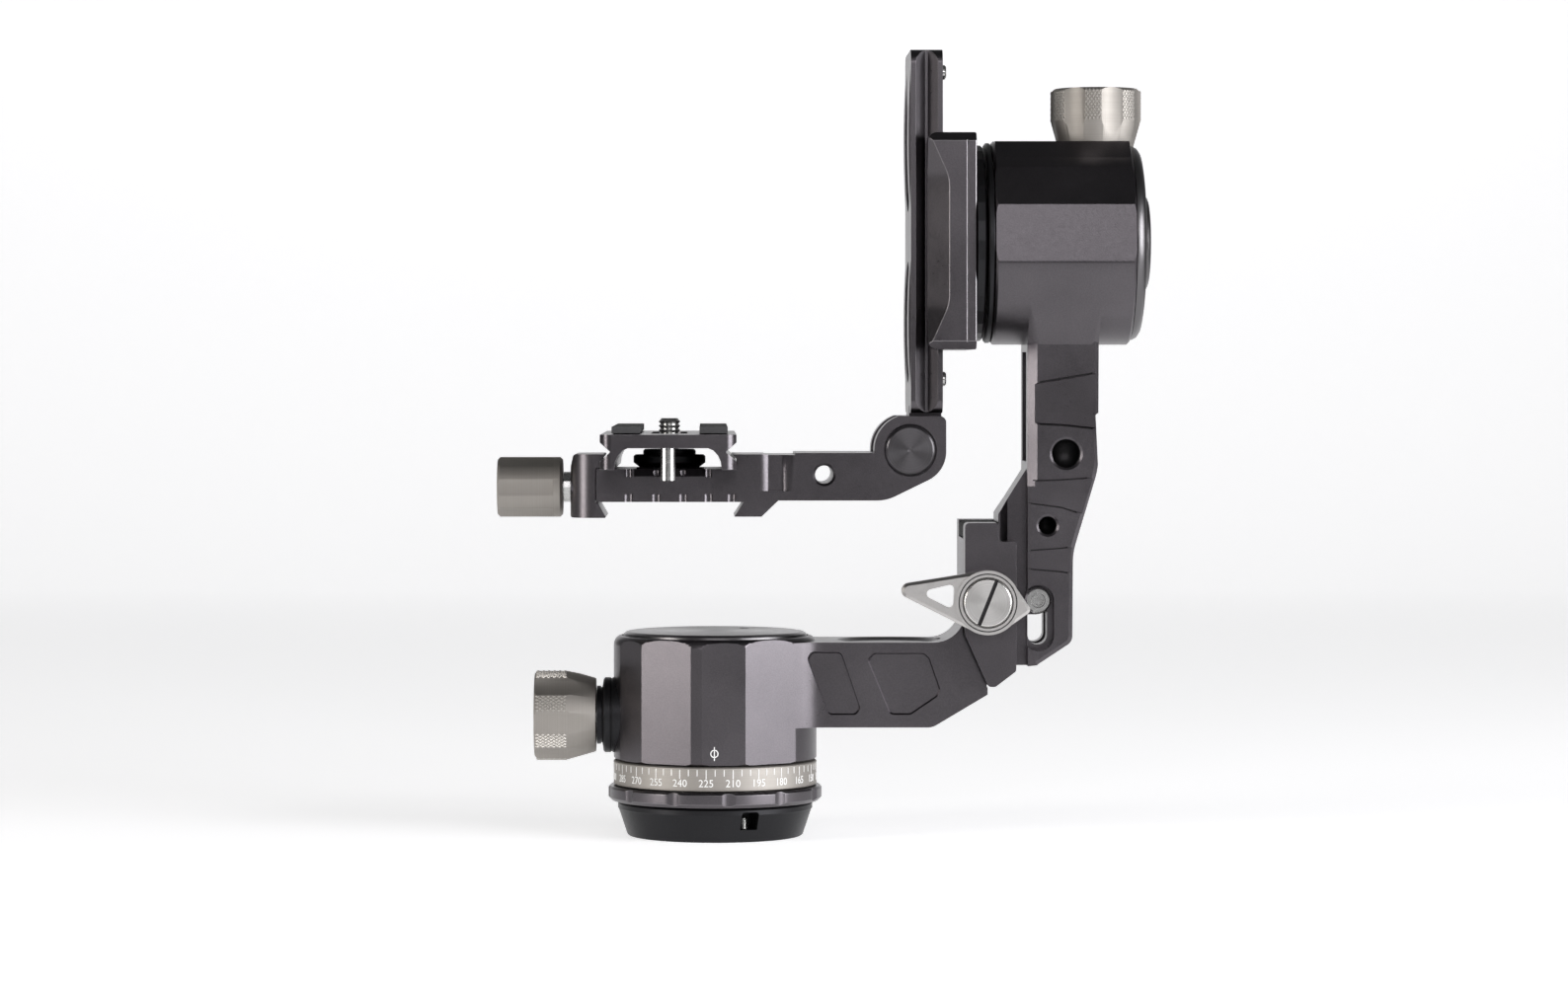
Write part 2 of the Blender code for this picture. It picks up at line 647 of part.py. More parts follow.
    flange = ring("lock_ring", FLANGE_RADIUS, HUB_RADIUS + GAP, FLANGE_BOTTOM,
                  FLANGE_BOTTOM + FLANGE_HEIGHT, steps=FINE_ROUND)
    lobe_count, first_notch = 12, radians(-83)
    for index in range(lobe_count):
        angle = first_notch + 2 * pi * index / lobe_count
        reach = FLANGE_RADIUS + LOBE_NOTCH_RADIUS - LOBE_NOTCH_DEPTH
        cut(flange, rod(f"lobe_notch_{index}", LOBE_NOTCH_RADIUS,
                        (reach * cos(angle), reach * sin(angle), FLANGE_BOTTOM - OVERRUN),
                        FLANGE_HEIGHT + 2 * OVERRUN, "Z"))
    finish(flange, ANODISED, joint)

    finish(ring("degree_ring", SCALE_RING_RADIUS, HUB_RADIUS + GAP, RING_BOTTOM, RING_TOP,
                steps=FINE_ROUND), SATIN, joint)
    finish(ring("pan_thrust_washer", HUB_RADIUS - GAP, PAN_SHAFT_RADIUS + GAP, HUB_TOP + GAP,
                WASHER_TOP, edge=0), POLYMER, joint)
    finish(ring("pan_bearing_lower", PAN_LOWER_BEARING_RADIUS, PAN_SHAFT_RADIUS + GAP,
                PAN_LOWER_BEARING_BOTTOM, PAN_LOWER_BEARING_TOP, edge=0), STEEL, joint)
    finish(ring("pan_bearing_upper", PAN_UPPER_BEARING_RADIUS, PAN_TOP_SHAFT_RADIUS + GAP,
                PAN_UPPER_BEARING_BOTTOM, PAN_UPPER_BEARING_TOP, edge=0), STEEL, joint)
    hex_nut("pan_spindle_nut", PAN_NUT_RADIUS, PAN_THREAD_RADIUS + GAP, (0, 0, PAN_UPPER_BEARING_TOP + GAP),
            PAN_NUT_HEIGHT, "Z", joint)


def hex_nut(name, radius, bore_radius, start, height, axis, joint):
    """A six-sided nut that starts at a point and runs along +axis."""
    nut = rod(name, radius, start, height, axis, 6)
    direction = Vector((axis == "X", axis == "Y", axis == "Z"))
    cut(nut, rod(name + "_bore", bore_radius, Vector(start) - direction * OVERRUN,
                 height + 2 * OVERRUN, axis))
    return finish(nut, STEEL, joint)


def pan_housing(joint):
    """The casting: pan housing, lower arm, the fixed half of the arm clamp and the pivot ear."""
    facet_turns = (-67.8, -45.8, -13.8, -7.5, 17.0)
    facets = [(HOUSING_RADIUS * sin(radians(turn)), -HOUSING_RADIUS * cos(radians(turn)))
              for turn in facet_turns]
    body = prism("pan_housing", facets + arc((0, 0), HOUSING_RADIUS, -73, 202.2, ROUND)[1:-1],
                 HOUSING_BOTTOM, HOUSING_TOP, "Z")
    soften(body, 2 * EDGE, 1, 60)

    arm = prism("lower_arm", rounded([
        (ARM_ROOT_X, LOWER_ARM_BOTTOM, 0),
        (ARM_UNDERSIDE_TURN_X, LOWER_ARM_BOTTOM, EAR_RADIUS),
        (ARM_UNDERSIDE_END_X, LOWER_ARM_BOTTOM + ARM_UNDERSIDE_END_RISE, 0),
        (ARM_UNDERSIDE_END_X, LOWER_ARM_TOP + ARM_TOP_FILLET, 0),
        (BLOCK_LEFT_X + EDGE, LOWER_ARM_TOP + ARM_TOP_FILLET, 0),
        (BLOCK_LEFT_X, LOWER_ARM_TOP, ARM_TOP_FILLET),
        (ARM_ROOT_X, LOWER_ARM_TOP, 0),
    ], 6), -ARM_HALF, ARM_HALF)
    soften(arm, EDGE, 1, 50)

    cap_seat = BLOCK_TOP - CLAMP_CAP_HEIGHT - GAP
    rear = prism("rear_jaw", [
        (BLOCK_LEFT_X, JAW_LEFT_BOTTOM),
        (JAW_TIP_LEFT_X, JAW_TIP_BOTTOM),
        (JAW_TIP_RIGHT_X, JAW_TIP_BOTTOM),
        (BLOCK_RIGHT_X, JAW_TIP_BOTTOM + JAW_TIP_RISE),
        (BLOCK_RIGHT_X, BLOCK_TOP),
        (BLOCK_LEFT_X, BLOCK_TOP),
    ], -TONGUE_HALF_WIDTH, BLOCK_HALF_DEPTH)
    soften(rear, EDGE, 1, 30)
    cut(rear, block("cap_seat", (BLOCK_LEFT_X - OVERRUN, -BLOCK_HALF_DEPTH, cap_seat),
                    (TONGUE_LEFT_X, TONGUE_HALF_WIDTH + GAP, BLOCK_TOP + OVERRUN)))
    cut(rear, tongue_room("rear_tongue_room", BLOCK_HALF_DEPTH, cap_seat))
    cut(arm, prism("front_jaw_room", [
        (BLOCK_LEFT_X - GAP, JAW_LEFT_BOTTOM - 2 * GAP),
        (JAW_TIP_LEFT_X - GAP, JAW_TIP_BOTTOM - 2 * GAP),
        (BLOCK_RIGHT_X, JAW_TIP_BOTTOM - 2 * GAP),
        (BLOCK_RIGHT_X, BLOCK_TOP),
        (BLOCK_LEFT_X - GAP, BLOCK_TOP),
    ], -BLOCK_HALF_DEPTH, -TONGUE_HALF_WIDTH))
    add(body, arm, rear)

    ear = prism("pivot_ear", [(TONGUE_LEFT_X - OVERRUN, PIVOT_HEIGHT - EAR_RADIUS)]
                + arc((PIVOT_X, PIVOT_HEIGHT), EAR_RADIUS, -90, 90, 12)
                + [(TONGUE_LEFT_X - OVERRUN, PIVOT_HEIGHT + EAR_RADIUS)],
                -EAR_THICKNESS / 2, EAR_THICKNESS / 2)
    add(body, ear)
    cut(body, rod("ear_bore", PIVOT_RADIUS + GAP, (PIVOT_X, -EAR_THICKNESS, PIVOT_HEIGHT),
                  2 * EAR_THICKNESS, "Y"))

    boss_radius = HUB_RADIUS - GAP
    spigot = ring("housing_spigot", boss_radius, PAN_SHAFT_RADIUS + RUNNING_GAP,
                  WASHER_TOP + GAP, HOUSING_BOTTOM + EDGE + OVERRUN)
    add(body, spigot)
    cut(body, turned("bearing_bore", [
        (0, HOUSING_TOP + OVERRUN),
        (TOP_CAP_RADIUS + GAP, HOUSING_TOP + OVERRUN),
        (TOP_CAP_RADIUS + GAP, HOUSING_TOP - TOP_CAP_RISE - GAP),
        (PAN_UPPER_BEARING_RADIUS + GAP, HOUSING_TOP - TOP_CAP_RISE - GAP),
        (PAN_UPPER_BEARING_RADIUS + GAP, PAN_UPPER_BEARING_BOTTOM - GAP),
        (PAN_SHAFT_RADIUS + RUNNING_GAP, PAN_UPPER_BEARING_BOTTOM - GAP),
        (PAN_SHAFT_RADIUS + RUNNING_GAP, PAN_LOWER_BEARING_TOP + GAP),
        (PAN_LOWER_BEARING_RADIUS + GAP, PAN_LOWER_BEARING_TOP + GAP),
        (PAN_LOWER_BEARING_RADIUS + GAP, WASHER_TOP - OVERRUN),
        (0, WASHER_TOP - OVERRUN),
    ]))
    shoe_bottom = SHOE_TIP_REACH + SHOE_LENGTH
    cut(body,
        rod("pan_shoe_bore", SHOE_RADIUS + GAP,
            (-shoe_bottom - SHOE_TRAVEL - GAP, 0, PAN_KNOB_HEIGHT), shoe_bottom, "X"),
        rod("pan_screw_bore", LOCK_SCREW_RADIUS + GAP,
            (-HOUSING_RADIUS - OVERRUN, 0, PAN_KNOB_HEIGHT), HOUSING_RADIUS, "X"),
        rod("collar_seat", COLLAR_RADIUS + GAP, (-HOUSING_RADIUS - OVERRUN, 0, PAN_KNOB_HEIGHT),
            HOUSING_RADIUS + OVERRUN - COLLAR_SEAT_REACH, "X", ROUND))

    inner_pocket_shares = ((-0.045, 0.897), (0.163, 0.897), (0.299, 0.210), (0.263, 0.140),
                           (0.074, 0.140), (-0.074, 0.815))
    outer_pocket_shares = ((0.333, 0.802), (0.373, 0.885), (0.730, 0.885), (0.768, 0.827),
                           (0.844, 0.444), (0.825, 0.362), (0.636, 0.140), (0.493, 0.140))
    arm_low = (HOUSING_RADIUS, LOWER_ARM_BOTTOM)
    arm_high = (BLOCK_LEFT_X, LOWER_ARM_TOP)
    for side in (-1, 1):
        low, high = sorted((side * (ARM_HALF - POCKET_DEPTH), side * (ARM_HALF + OVERRUN)))
        for label, shares in (("inner", inner_pocket_shares), ("outer", outer_pocket_shares)):
            outline = rounded(spread(shares, arm_low, arm_high, POCKET_CORNER), 3)
            cut(body, prism(f"arm_pocket_{label}_{side}", outline, low, high))
    cut(body, rod("arm_dish", DISH_RADIUS, (DISH_X, 0, LOWER_ARM_TOP - DISH_DEPTH),
                  DISH_DEPTH + OVERRUN, "Z", ROUND))
    cut(body,
        rod("bolt_bore", BOLT_RADIUS + GAP, (LEVER_X, -BLOCK_HALF_DEPTH, LEVER_HEIGHT),
            2 * BLOCK_HALF_DEPTH + OVERRUN, "Y"),
        rod("bolt_nut_seat", BOLT_NUT_RADIUS + GAP,
            (LEVER_X, BLOCK_HALF_DEPTH - BOLT_NUT_HEIGHT - GAP, LEVER_HEIGHT),
            BOLT_NUT_HEIGHT + OVERRUN, "Y"))
    for label, height in (("lower", LOWER_PIN_HEIGHT), ("upper", UPPER_PIN_HEIGHT)):
        add(body, rod("jaw_guide_pin_" + label, GUIDE_PIN_RADIUS,
                      (LEVER_X, -BLOCK_HALF_DEPTH + JAW_PIN_COVER + GAP, height),
                      BLOCK_HALF_DEPTH - JAW_PIN_COVER, "Y", TINY_ROUND))
    return finish(body, ANODISED, joint)


def tongue_room(name, rear_y, top):
    """The room in a jaw for the upper arm's dovetail tongue, open to the front and the right."""
    flank_x = TONGUE_LEFT_X + TONGUE_FLANGE
    flank = TONGUE_HALF_WIDTH - TONGUE_NECK_HALF_WIDTH
    wide = TONGUE_HALF_WIDTH + GAP
    narrow = TONGUE_NECK_HALF_WIDTH + GAP
    outer_x = BLOCK_RIGHT_X + OVERRUN
    side = 1 if rear_y > 0 else -1
    outline = [
        (TONGUE_LEFT_X - GAP, -side * wide),
        (TONGUE_LEFT_X - GAP, side * wide),
        (flank_x + GAP, side * wide),
        (flank_x + flank + GAP, side * narrow),
        (outer_x, side * narrow),
        (outer_x, -side * wide),
    ]
    return prism(name, outline, LOWER_ARM_BOTTOM, top + 2 * CLAMP_CAP_HEIGHT, "Z")


def pan_trim(joint):
    """Pieces that turn with the pan housing."""
    cap = turned("pan_top_cap", [
        (0, HOUSING_TOP + TOP_CAP_RISE),
        (TOP_CAP_RADIUS - EDGE, HOUSING_TOP + TOP_CAP_RISE),
        (TOP_CAP_RADIUS, HOUSING_TOP + TOP_CAP_RISE - EDGE),
        (TOP_CAP_RADIUS, HOUSING_TOP - TOP_CAP_RISE),
        (0, HOUSING_TOP - TOP_CAP_RISE),
    ], steps=FINE_ROUND)
    cut(cap, rod("cap_pin_hole", CAP_PIN_HOLE_RADIUS,
                 (CAP_PIN_HOLE_X, CAP_PIN_HOLE_Y, HOUSING_TOP - 2 * TOP_CAP_RISE), OVERRUN * 2 + TOP_CAP_RISE,
                 "Z", TINY_ROUND))
    finish(cap, ANODISED, joint)

    collar_length = -COLLAR_FACE_X - COLLAR_SEAT_REACH - GAP
    neck_length = COLLAR_FACE_X - PAN_KNOB_FACE_X - GAP
    collar = turned("pan_knob_collar", [
        (COLLAR_RADIUS, 0),
        (COLLAR_RADIUS, -collar_length + EDGE),
        (COLLAR_RADIUS - EDGE, -collar_length),
        (COLLAR_NECK_RADIUS, -collar_length),
        (COLLAR_NECK_RADIUS, -collar_length - neck_length),
        (LOCK_SCREW_RADIUS + GAP, -collar_length - neck_length),
        (LOCK_SCREW_RADIUS + GAP, 0),
    ], (-COLLAR_SEAT_REACH - GAP, 0, PAN_KNOB_HEIGHT), "X")
    finish(collar, BLACK, joint)

    cap_low = BLOCK_TOP - CLAMP_CAP_HEIGHT
    clamp_cap = block("arm_clamp_cap",
                      (BLOCK_LEFT_X, -TONGUE_HALF_WIDTH, cap_low),
                      (TONGUE_LEFT_X - GAP, TONGUE_HALF_WIDTH, BLOCK_TOP))
    soften(clamp_cap, 2 * EDGE)
    finish(clamp_cap, BLACK, joint)

    head_face = -ARM_HALF + PIVOT_POCKET_DEPTH - GAP
    screw = turned("pivot_shoulder_screw", [
        (0, -head_face + SCREW_HEAD_HEIGHT / 2),
        (PIVOT_RADIUS, -head_face + SCREW_HEAD_HEIGHT / 2),
        (PIVOT_RADIUS, head_face),
        (SCREW_HEAD_RADIUS, head_face),
        (SCREW_HEAD_RADIUS, head_face - SCREW_HEAD_HEIGHT + EDGE),
        (SCREW_HEAD_RADIUS - EDGE, head_face - SCREW_HEAD_HEIGHT),
        (PIVOT_SOCKET_RADIUS, head_face - SCREW_HEAD_HEIGHT),
        (PIVOT_SOCKET_RADIUS, head_face - SCREW_HEAD_HEIGHT + PIVOT_SOCKET_DEPTH),
        (0, head_face - SCREW_HEAD_HEIGHT + PIVOT_SOCKET_DEPTH),
    ], (PIVOT_X, 0, PIVOT_HEIGHT), "Y", SMALL_ROUND)
    finish(screw, STEEL, joint)
    finish(turned("pivot_shoulder_nut", [
        (0, -head_face + SCREW_HEAD_HEIGHT),
        (SCREW_HEAD_RADIUS - EDGE, -head_face + SCREW_HEAD_HEIGHT),
        (SCREW_HEAD_RADIUS, -head_face + SCREW_HEAD_HEIGHT - EDGE),
        (SCREW_HEAD_RADIUS, -head_face),
        (PIVOT_RADIUS + GAP, -head_face),
        (PIVOT_RADIUS + GAP, -head_face + SCREW_HEAD_HEIGHT / 2 + GAP),
        (0, -head_face + SCREW_HEAD_HEIGHT / 2 + GAP),
    ], (PIVOT_X, 0, PIVOT_HEIGHT), "Y", SMALL_ROUND), STEEL, joint)

    hex_nut("arm_clamp_nut", BOLT_NUT_RADIUS, BOLT_RADIUS + GAP,
            (LEVER_X, BLOCK_HALF_DEPTH - BOLT_NUT_HEIGHT, LEVER_HEIGHT), BOLT_NUT_HEIGHT, "Y", joint)


def brake_shoe(name, place, axis, joint):
    """A brass shoe that the lock screw presses on the shaft. Its tip is at the place."""
    shoe = rod(name, SHOE_RADIUS, place, SHOE_LENGTH, axis)
    return finish(shoe, BRASS, joint)


def lock_knob(prefix, origin, turn, land, screw_length, joint):
    """A fluted knob with its screw. It is drawn upright with its foot at the origin."""
    cone_top = KNOB_LENGTH - KNOB_GRIP_LENGTH
    knob = turned(prefix + "_lock_knob", [
        (0, KNOB_LENGTH),
        (KNOB_RADIUS - KNOB_CHAMFER, KNOB_LENGTH),
        (KNOB_RADIUS, KNOB_LENGTH - KNOB_CHAMFER),
        (KNOB_RADIUS, cone_top),
        (KNOB_NECK_RADIUS, 0),
        (LOCK_SCREW_RADIUS + GAP, 0),
        (LOCK_SCREW_RADIUS + GAP, KNOB_BORE_DEPTH),
        (0, KNOB_BORE_DEPTH),
    ], origin, "Z", FINE_ROUND)
    knob.rotation_euler = turn
    flute_reach = FLUTE_FLOOR_RADIUS + FLUTE_CUTTER_RADIUS
    for index in range(FLUTE_COUNT):
        angle = land + 2 * pi * (index + 0.5) / FLUTE_COUNT
        flute = rod(f"{prefix}_flute_{index}", FLUTE_CUTTER_RADIUS,
                    (flute_reach * cos(angle), flute_reach * sin(angle), -OVERRUN),
                    KNOB_LENGTH + 2 * OVERRUN, "Z", ROUND)
        flute.data.transform(Matrix.Translation(flute.location))
        flute.location = origin
        flute.rotation_euler = turn
        cut(knob, flute)
    finish(knob, TITANIUM, joint)
    screw = turned(prefix + "_lock_screw", [
        (0, KNOB_BORE_DEPTH - GAP),
        (LOCK_SCREW_RADIUS, KNOB_BORE_DEPTH - GAP),
        (LOCK_SCREW_RADIUS, -screw_length),
        (0, -screw_length),
    ], origin, "Z", SMALL_ROUND)
    screw.rotation_euler = turn
    return finish(screw, STEEL, joint)


def arm_clamp_jaw(joint):
    """The moving front half of the arm clamp."""
    front = -BLOCK_HALF_DEPTH
    notch_low = BLOCK_TOP - JAW_NOTCH_HEIGHT
    jaw = prism("arm_clamp_jaw", rounded([
        (BLOCK_LEFT_X, JAW_LEFT_BOTTOM, 0),
        (JAW_TIP_LEFT_X, JAW_TIP_BOTTOM, 2 * EDGE),
        (JAW_TIP_RIGHT_X, JAW_TIP_BOTTOM, 2 * EDGE),
        (BLOCK_RIGHT_X, JAW_TIP_BOTTOM + JAW_TIP_RISE, 2 * EDGE),
        (BLOCK_RIGHT_X, notch_low, EDGE),
        (JAW_NOTCH_X, notch_low, JAW_NOTCH_CORNER),
        (JAW_NOTCH_X, BLOCK_TOP, EDGE),
        (BLOCK_LEFT_X, BLOCK_TOP, EDGE),
    ], 2), front, -TONGUE_NECK_HALF_WIDTH - GAP - EDGE)
    soften(jaw, EDGE, 1, 50)
    flank_x = TONGUE_LEFT_X + TONGUE_FLANGE
    flank = TONGUE_HALF_WIDTH - TONGUE_NECK_HALF_WIDTH
    wide = -TONGUE_HALF_WIDTH - 2 * GAP
    narrow = -TONGUE_NECK_HALF_WIDTH - 2 * GAP
    cut(jaw, prism("front_tongue_room", [
        (BLOCK_LEFT_X - OVERRUN, wide),
        (flank_x + GAP, wide),
        (flank_x + flank + GAP, narrow),
        (BLOCK_RIGHT_X + OVERRUN, narrow),
        (BLOCK_RIGHT_X + OVERRUN, 0),
        (BLOCK_LEFT_X - OVERRUN, 0),
    ], LOWER_ARM_BOTTOM, BLOCK_TOP + OVERRUN, "Z"))
    cut(jaw, rod("jaw_bolt_hole", BOLT_RADIUS + GAP,
                 (LEVER_X, front - OVERRUN, LEVER_HEIGHT), BLOCK_HALF_DEPTH, "Y"))
    for label, height in (("lower", LOWER_PIN_HEIGHT), ("upper", UPPER_PIN_HEIGHT)):
        cut(jaw, rod("jaw_guide_hole_" + label, GUIDE_PIN_RADIUS + GAP,
                     (LEVER_X, front + JAW_PIN_COVER, height), BLOCK_HALF_DEPTH, "Y", TINY_ROUND))
    return finish(jaw, ANODISED, joint)


def arm_clamp_lever(joint):
    """The lever round its slotted bolt head."""
    back = -BLOCK_HALF_DEPTH - GAP
    front = back - LEVER_THICKNESS
    tip_x, tip_height = LEVER_X - LEVER_TIP_REACH, LEVER_HEIGHT + LEVER_TIP_RISE
    lobe_x, lobe_height = LEVER_X + LEVER_LOBE_REACH, LEVER_HEIGHT - LEVER_LOBE_DROP
    handle = hull_outline([((LEVER_X, LEVER_HEIGHT), LEVER_RADIUS),
                           ((tip_x, tip_height), LEVER_TIP_RADIUS),
                           ((lobe_x, lobe_height), LEVER_LOBE_RADIUS)])
    lever = prism("arm_clamp_lever", handle, front, back)
    soften(lever, 2 * EDGE, 1, 50)
    head_depth = LEVER_THICKNESS - GAP * 4
    cut(lever, turned("lever_bore", [
        (0, back + OVERRUN),
        (BOLT_RADIUS + GAP, back + OVERRUN),
        (BOLT_RADIUS + GAP, front + head_depth),
        (BOLT_HEAD_RADIUS + GAP, front + head_depth),
        (BOLT_HEAD_RADIUS + GAP, front - OVERRUN),
        (0, front - OVERRUN),
    ], (LEVER_X, 0, LEVER_HEIGHT), "Y"))
    window_shares = ((0.465, -0.146), (0.560, 0.602), (0.130, 0.361))
    cut(lever, prism("lever_window", rounded(spread(
        window_shares, (tip_x - LEVER_TIP_RADIUS, LEVER_HEIGHT),
        (LEVER_X, LEVER_HEIGHT + LEVER_RADIUS), LEVER_WINDOW_CORNER), 4),
        front - OVERRUN, back + OVERRUN))
    finish(lever, SATIN, joint)

    head_back = front + head_depth - GAP
    slot_turn = radians(-20)
    bolt = turned("arm_clamp_bolt", [
        (0, BLOCK_HALF_DEPTH - GAP),
        (BOLT_RADIUS, BLOCK_HALF_DEPTH - GAP),
        (BOLT_RADIUS, head_back),
        (BOLT_HEAD_RADIUS, head_back),
        (BOLT_HEAD_RADIUS, front - GAP + EDGE),
        (BOLT_HEAD_RADIUS - EDGE, front - GAP),
        (0, front - GAP),
    ], (LEVER_X, 0, LEVER_HEIGHT), "Y")
    slot = block("bolt_slot", (-BOLT_SLOT_WIDTH / 2, front - OVERRUN, -BOLT_HEAD_RADIUS - OVERRUN),
                 (BOLT_SLOT_WIDTH / 2, front + BOLT_SLOT_DEPTH, BOLT_HEAD_RADIUS + OVERRUN))
    slot.data.transform(Matrix.Translation(slot.location))
    slot.location = (LEVER_X, 0, LEVER_HEIGHT)
    slot.rotation_euler.y = slot_turn
    cut(bolt, slot)
    return finish(bolt, SATIN, joint)


def hull_outline(circles, steps=36):
    """The outline that a tight band round several circles takes."""
    points = []
    for centre, radius in circles:
        points += [Vector(place) for place in arc(centre, radius, 0, 360, steps)[:-1]]
    start = min(points, key=lambda point: (point.x, point.y))
    outline = [start]
    while True:
        here = outline[-1]
        best = points[0] if points[0] is not here else points[1]
        for point in points:
            if point is here:
                continue
            turn = (best - here).cross(point - here)
            if turn < 0 or (turn == 0 and (point - here).length > (best - here).length):
                best = point
        if best is start or len(outline) > len(points):
            return [(point.x, point.y) for point in outline]
        outline.append(best)


def upper_arm(joint):
    """The upper arm and the tilt drum's housing, one casting."""
    facet_turns = (134.1, 159.6, 191.3)
    facets = [(DRUM_RADIUS * cos(radians(turn)), TILT_HEIGHT + DRUM_RADIUS * sin(radians(turn)))
              for turn in facet_turns]
    body = prism("upper_arm", facets
                 + arc((0, TILT_HEIGHT), DRUM_RADIUS, facet_turns[-1], 360 + facet_turns[0], ROUND)[1:-1],
                 DRUM_LEFT_X, DRUM_RIGHT_X, "X")
    soften(body, EDGE, 1, 60)

    arm_top = TILT_HEIGHT - DRUM_RADIUS + LARGE_HOLE_RADIUS
    arm = prism("arm_bar", [
        (UPPER_ARM_LEFT_X, UPPER_ARM_BOTTOM),
        (ARM_HEEL_X, ARM_HEEL_HEIGHT),
        (ARM_FOOT_X, ARM_FOOT_HEIGHT),
        (ARM_ELBOW_X, ARM_ELBOW_HEIGHT),
        (ARM_KNEE_X, ARM_KNEE_HEIGHT),
        (ARM_STEP_X, ARM_STEP_HEIGHT),
        (UPPER_ARM_RIGHT_X, ARM_STEP_HEIGHT + EDGE),
        (UPPER_ARM_RIGHT_X, arm_top),
        (UPPER_ARM_LEFT_X, arm_top),
    ], -ARM_HALF, ARM_HALF)
    soften(arm, UPPER_ARM_CHAMFER, 1, 80)
    flank_x = TONGUE_LEFT_X + TONGUE_FLANGE
    flank = TONGUE_HALF_WIDTH - TONGUE_NECK_HALF_WIDTH
    tongue = prism("tongue", [
        (TONGUE_LEFT_X, -TONGUE_HALF_WIDTH),
        (flank_x, -TONGUE_HALF_WIDTH),
        (flank_x + flank, -TONGUE_NECK_HALF_WIDTH),
        (UPPER_ARM_LEFT_X + OVERRUN, -TONGUE_NECK_HALF_WIDTH),
        (UPPER_ARM_LEFT_X + OVERRUN, TONGUE_NECK_HALF_WIDTH),
        (flank_x + flank, TONGUE_NECK_HALF_WIDTH),
        (flank_x, TONGUE_HALF_WIDTH),
        (TONGUE_LEFT_X, TONGUE_HALF_WIDTH),
    ], UPPER_ARM_BOTTOM, TONGUE_SLOPE_TOP, "Z")
    cut(tongue, prism("tongue_slope", [
        (TONGUE_LEFT_X - OVERRUN, TONGUE_SLOPE_BOTTOM - OVERRUN),
        (UPPER_ARM_LEFT_X, TONGUE_SLOPE_TOP),
        (UPPER_ARM_LEFT_X, TONGUE_SLOPE_TOP + OVERRUN),
        (TONGUE_LEFT_X - OVERRUN, TONGUE_SLOPE_TOP + OVERRUN),
    ], -2 * TONGUE_HALF_WIDTH, 2 * TONGUE_HALF_WIDTH))
    add(body, arm, tongue)

    room = EAR_THICKNESS / 2 + GAP
    cut(body, block("ear_room",
                    (TONGUE_LEFT_X - OVERRUN, -room, PIVOT_HEIGHT - LIFT_TRAVEL - EAR_RADIUS - RUNNING_GAP),
                    (PIVOT_X + EAR_RADIUS + RUNNING_GAP, room, PIVOT_HEIGHT + EAR_RADIUS + RUNNING_GAP)))
    top_centre = (PIVOT_X, PIVOT_HEIGHT)
    low_centre = (PIVOT_X, PIVOT_HEIGHT - LIFT_TRAVEL)
    cut(body, prism("lift_slot", obround(low_centre, top_centre, PIVOT_RADIUS + GAP),
                    -ARM_HALF - OVERRUN, ARM_HALF + OVERRUN))
    for side in (-1, 1):
        low, high = sorted((side * (ARM_HALF - PIVOT_POCKET_DEPTH), side * (ARM_HALF + OVERRUN)))
        cut(body, prism(f"pivot_pocket_{side}",
                        obround(low_centre, top_centre, PIVOT_POCKET_RADIUS), low, high))
        low, high = sorted((side * (ARM_HALF - HOLE_DEPTH), side * (ARM_HALF + OVERRUN)))
        cut(body,
            rod(f"large_hole_{side}", LARGE_HOLE_RADIUS, (LARGE_HOLE_X, low, LARGE_HOLE_HEIGHT),
                high - low, "Y"),
            rod(f"small_hole_{side}", SMALL_HOLE_RADIUS, (SMALL_HOLE_X, low, SMALL_HOLE_HEIGHT),
                high - low, "Y"))

    cut(body, block("arm_channel",
                    (UPPER_ARM_LEFT_X - OVERRUN, -CHANNEL_HALF_WIDTH, CHANNEL_BOTTOM),
                    (UPPER_ARM_LEFT_X + CHANNEL_DEPTH, CHANNEL_HALF_WIDTH, CHANNEL_TOP)))

    seat = TILT_BEARING_RADIUS + GAP
    bore = DRUM_BORE_RADIUS
    cut(body, turned("tilt_bore", [
        (0, DRUM_RIGHT_X + OVERRUN),
        (seat, DRUM_RIGHT_X + OVERRUN),
        (seat, RIGHT_BEARING_LEFT_X - GAP),
        (bore, RIGHT_BEARING_LEFT_X - GAP),
        (bore, LEFT_BEARING_LEFT_X + TILT_BEARING_WIDTH + GAP),
        (seat, LEFT_BEARING_LEFT_X + TILT_BEARING_WIDTH + GAP),
        (seat, DRUM_LEFT_X - OVERRUN),
        (0, DRUM_LEFT_X - OVERRUN),
    ], (0, 0, TILT_HEIGHT), "X"))
    shoe_low = TILT_HEIGHT + TILT_SHAFT_RADIUS
    cut(body,
        rod("tilt_shoe_bore", SHOE_RADIUS + GAP, (TILT_KNOB_X, 0, shoe_low - OVERRUN),
            SHOE_LENGTH + SHOE_TRAVEL + 2 * GAP + OVERRUN, "Z"),
        rod("tilt_screw_bore", LOCK_SCREW_RADIUS + GAP, (TILT_KNOB_X, 0, shoe_low), DRUM_RADIUS, "Z"),
        rod("tilt_knob_seat", KNOB_NECK_RADIUS + 3 * RUNNING_GAP,
            (TILT_KNOB_X, 0, TILT_KNOB_FOOT_HEIGHT - GAP), DRUM_RADIUS, "Z", ROUND))
    return finish(body, ANODISED, joint)


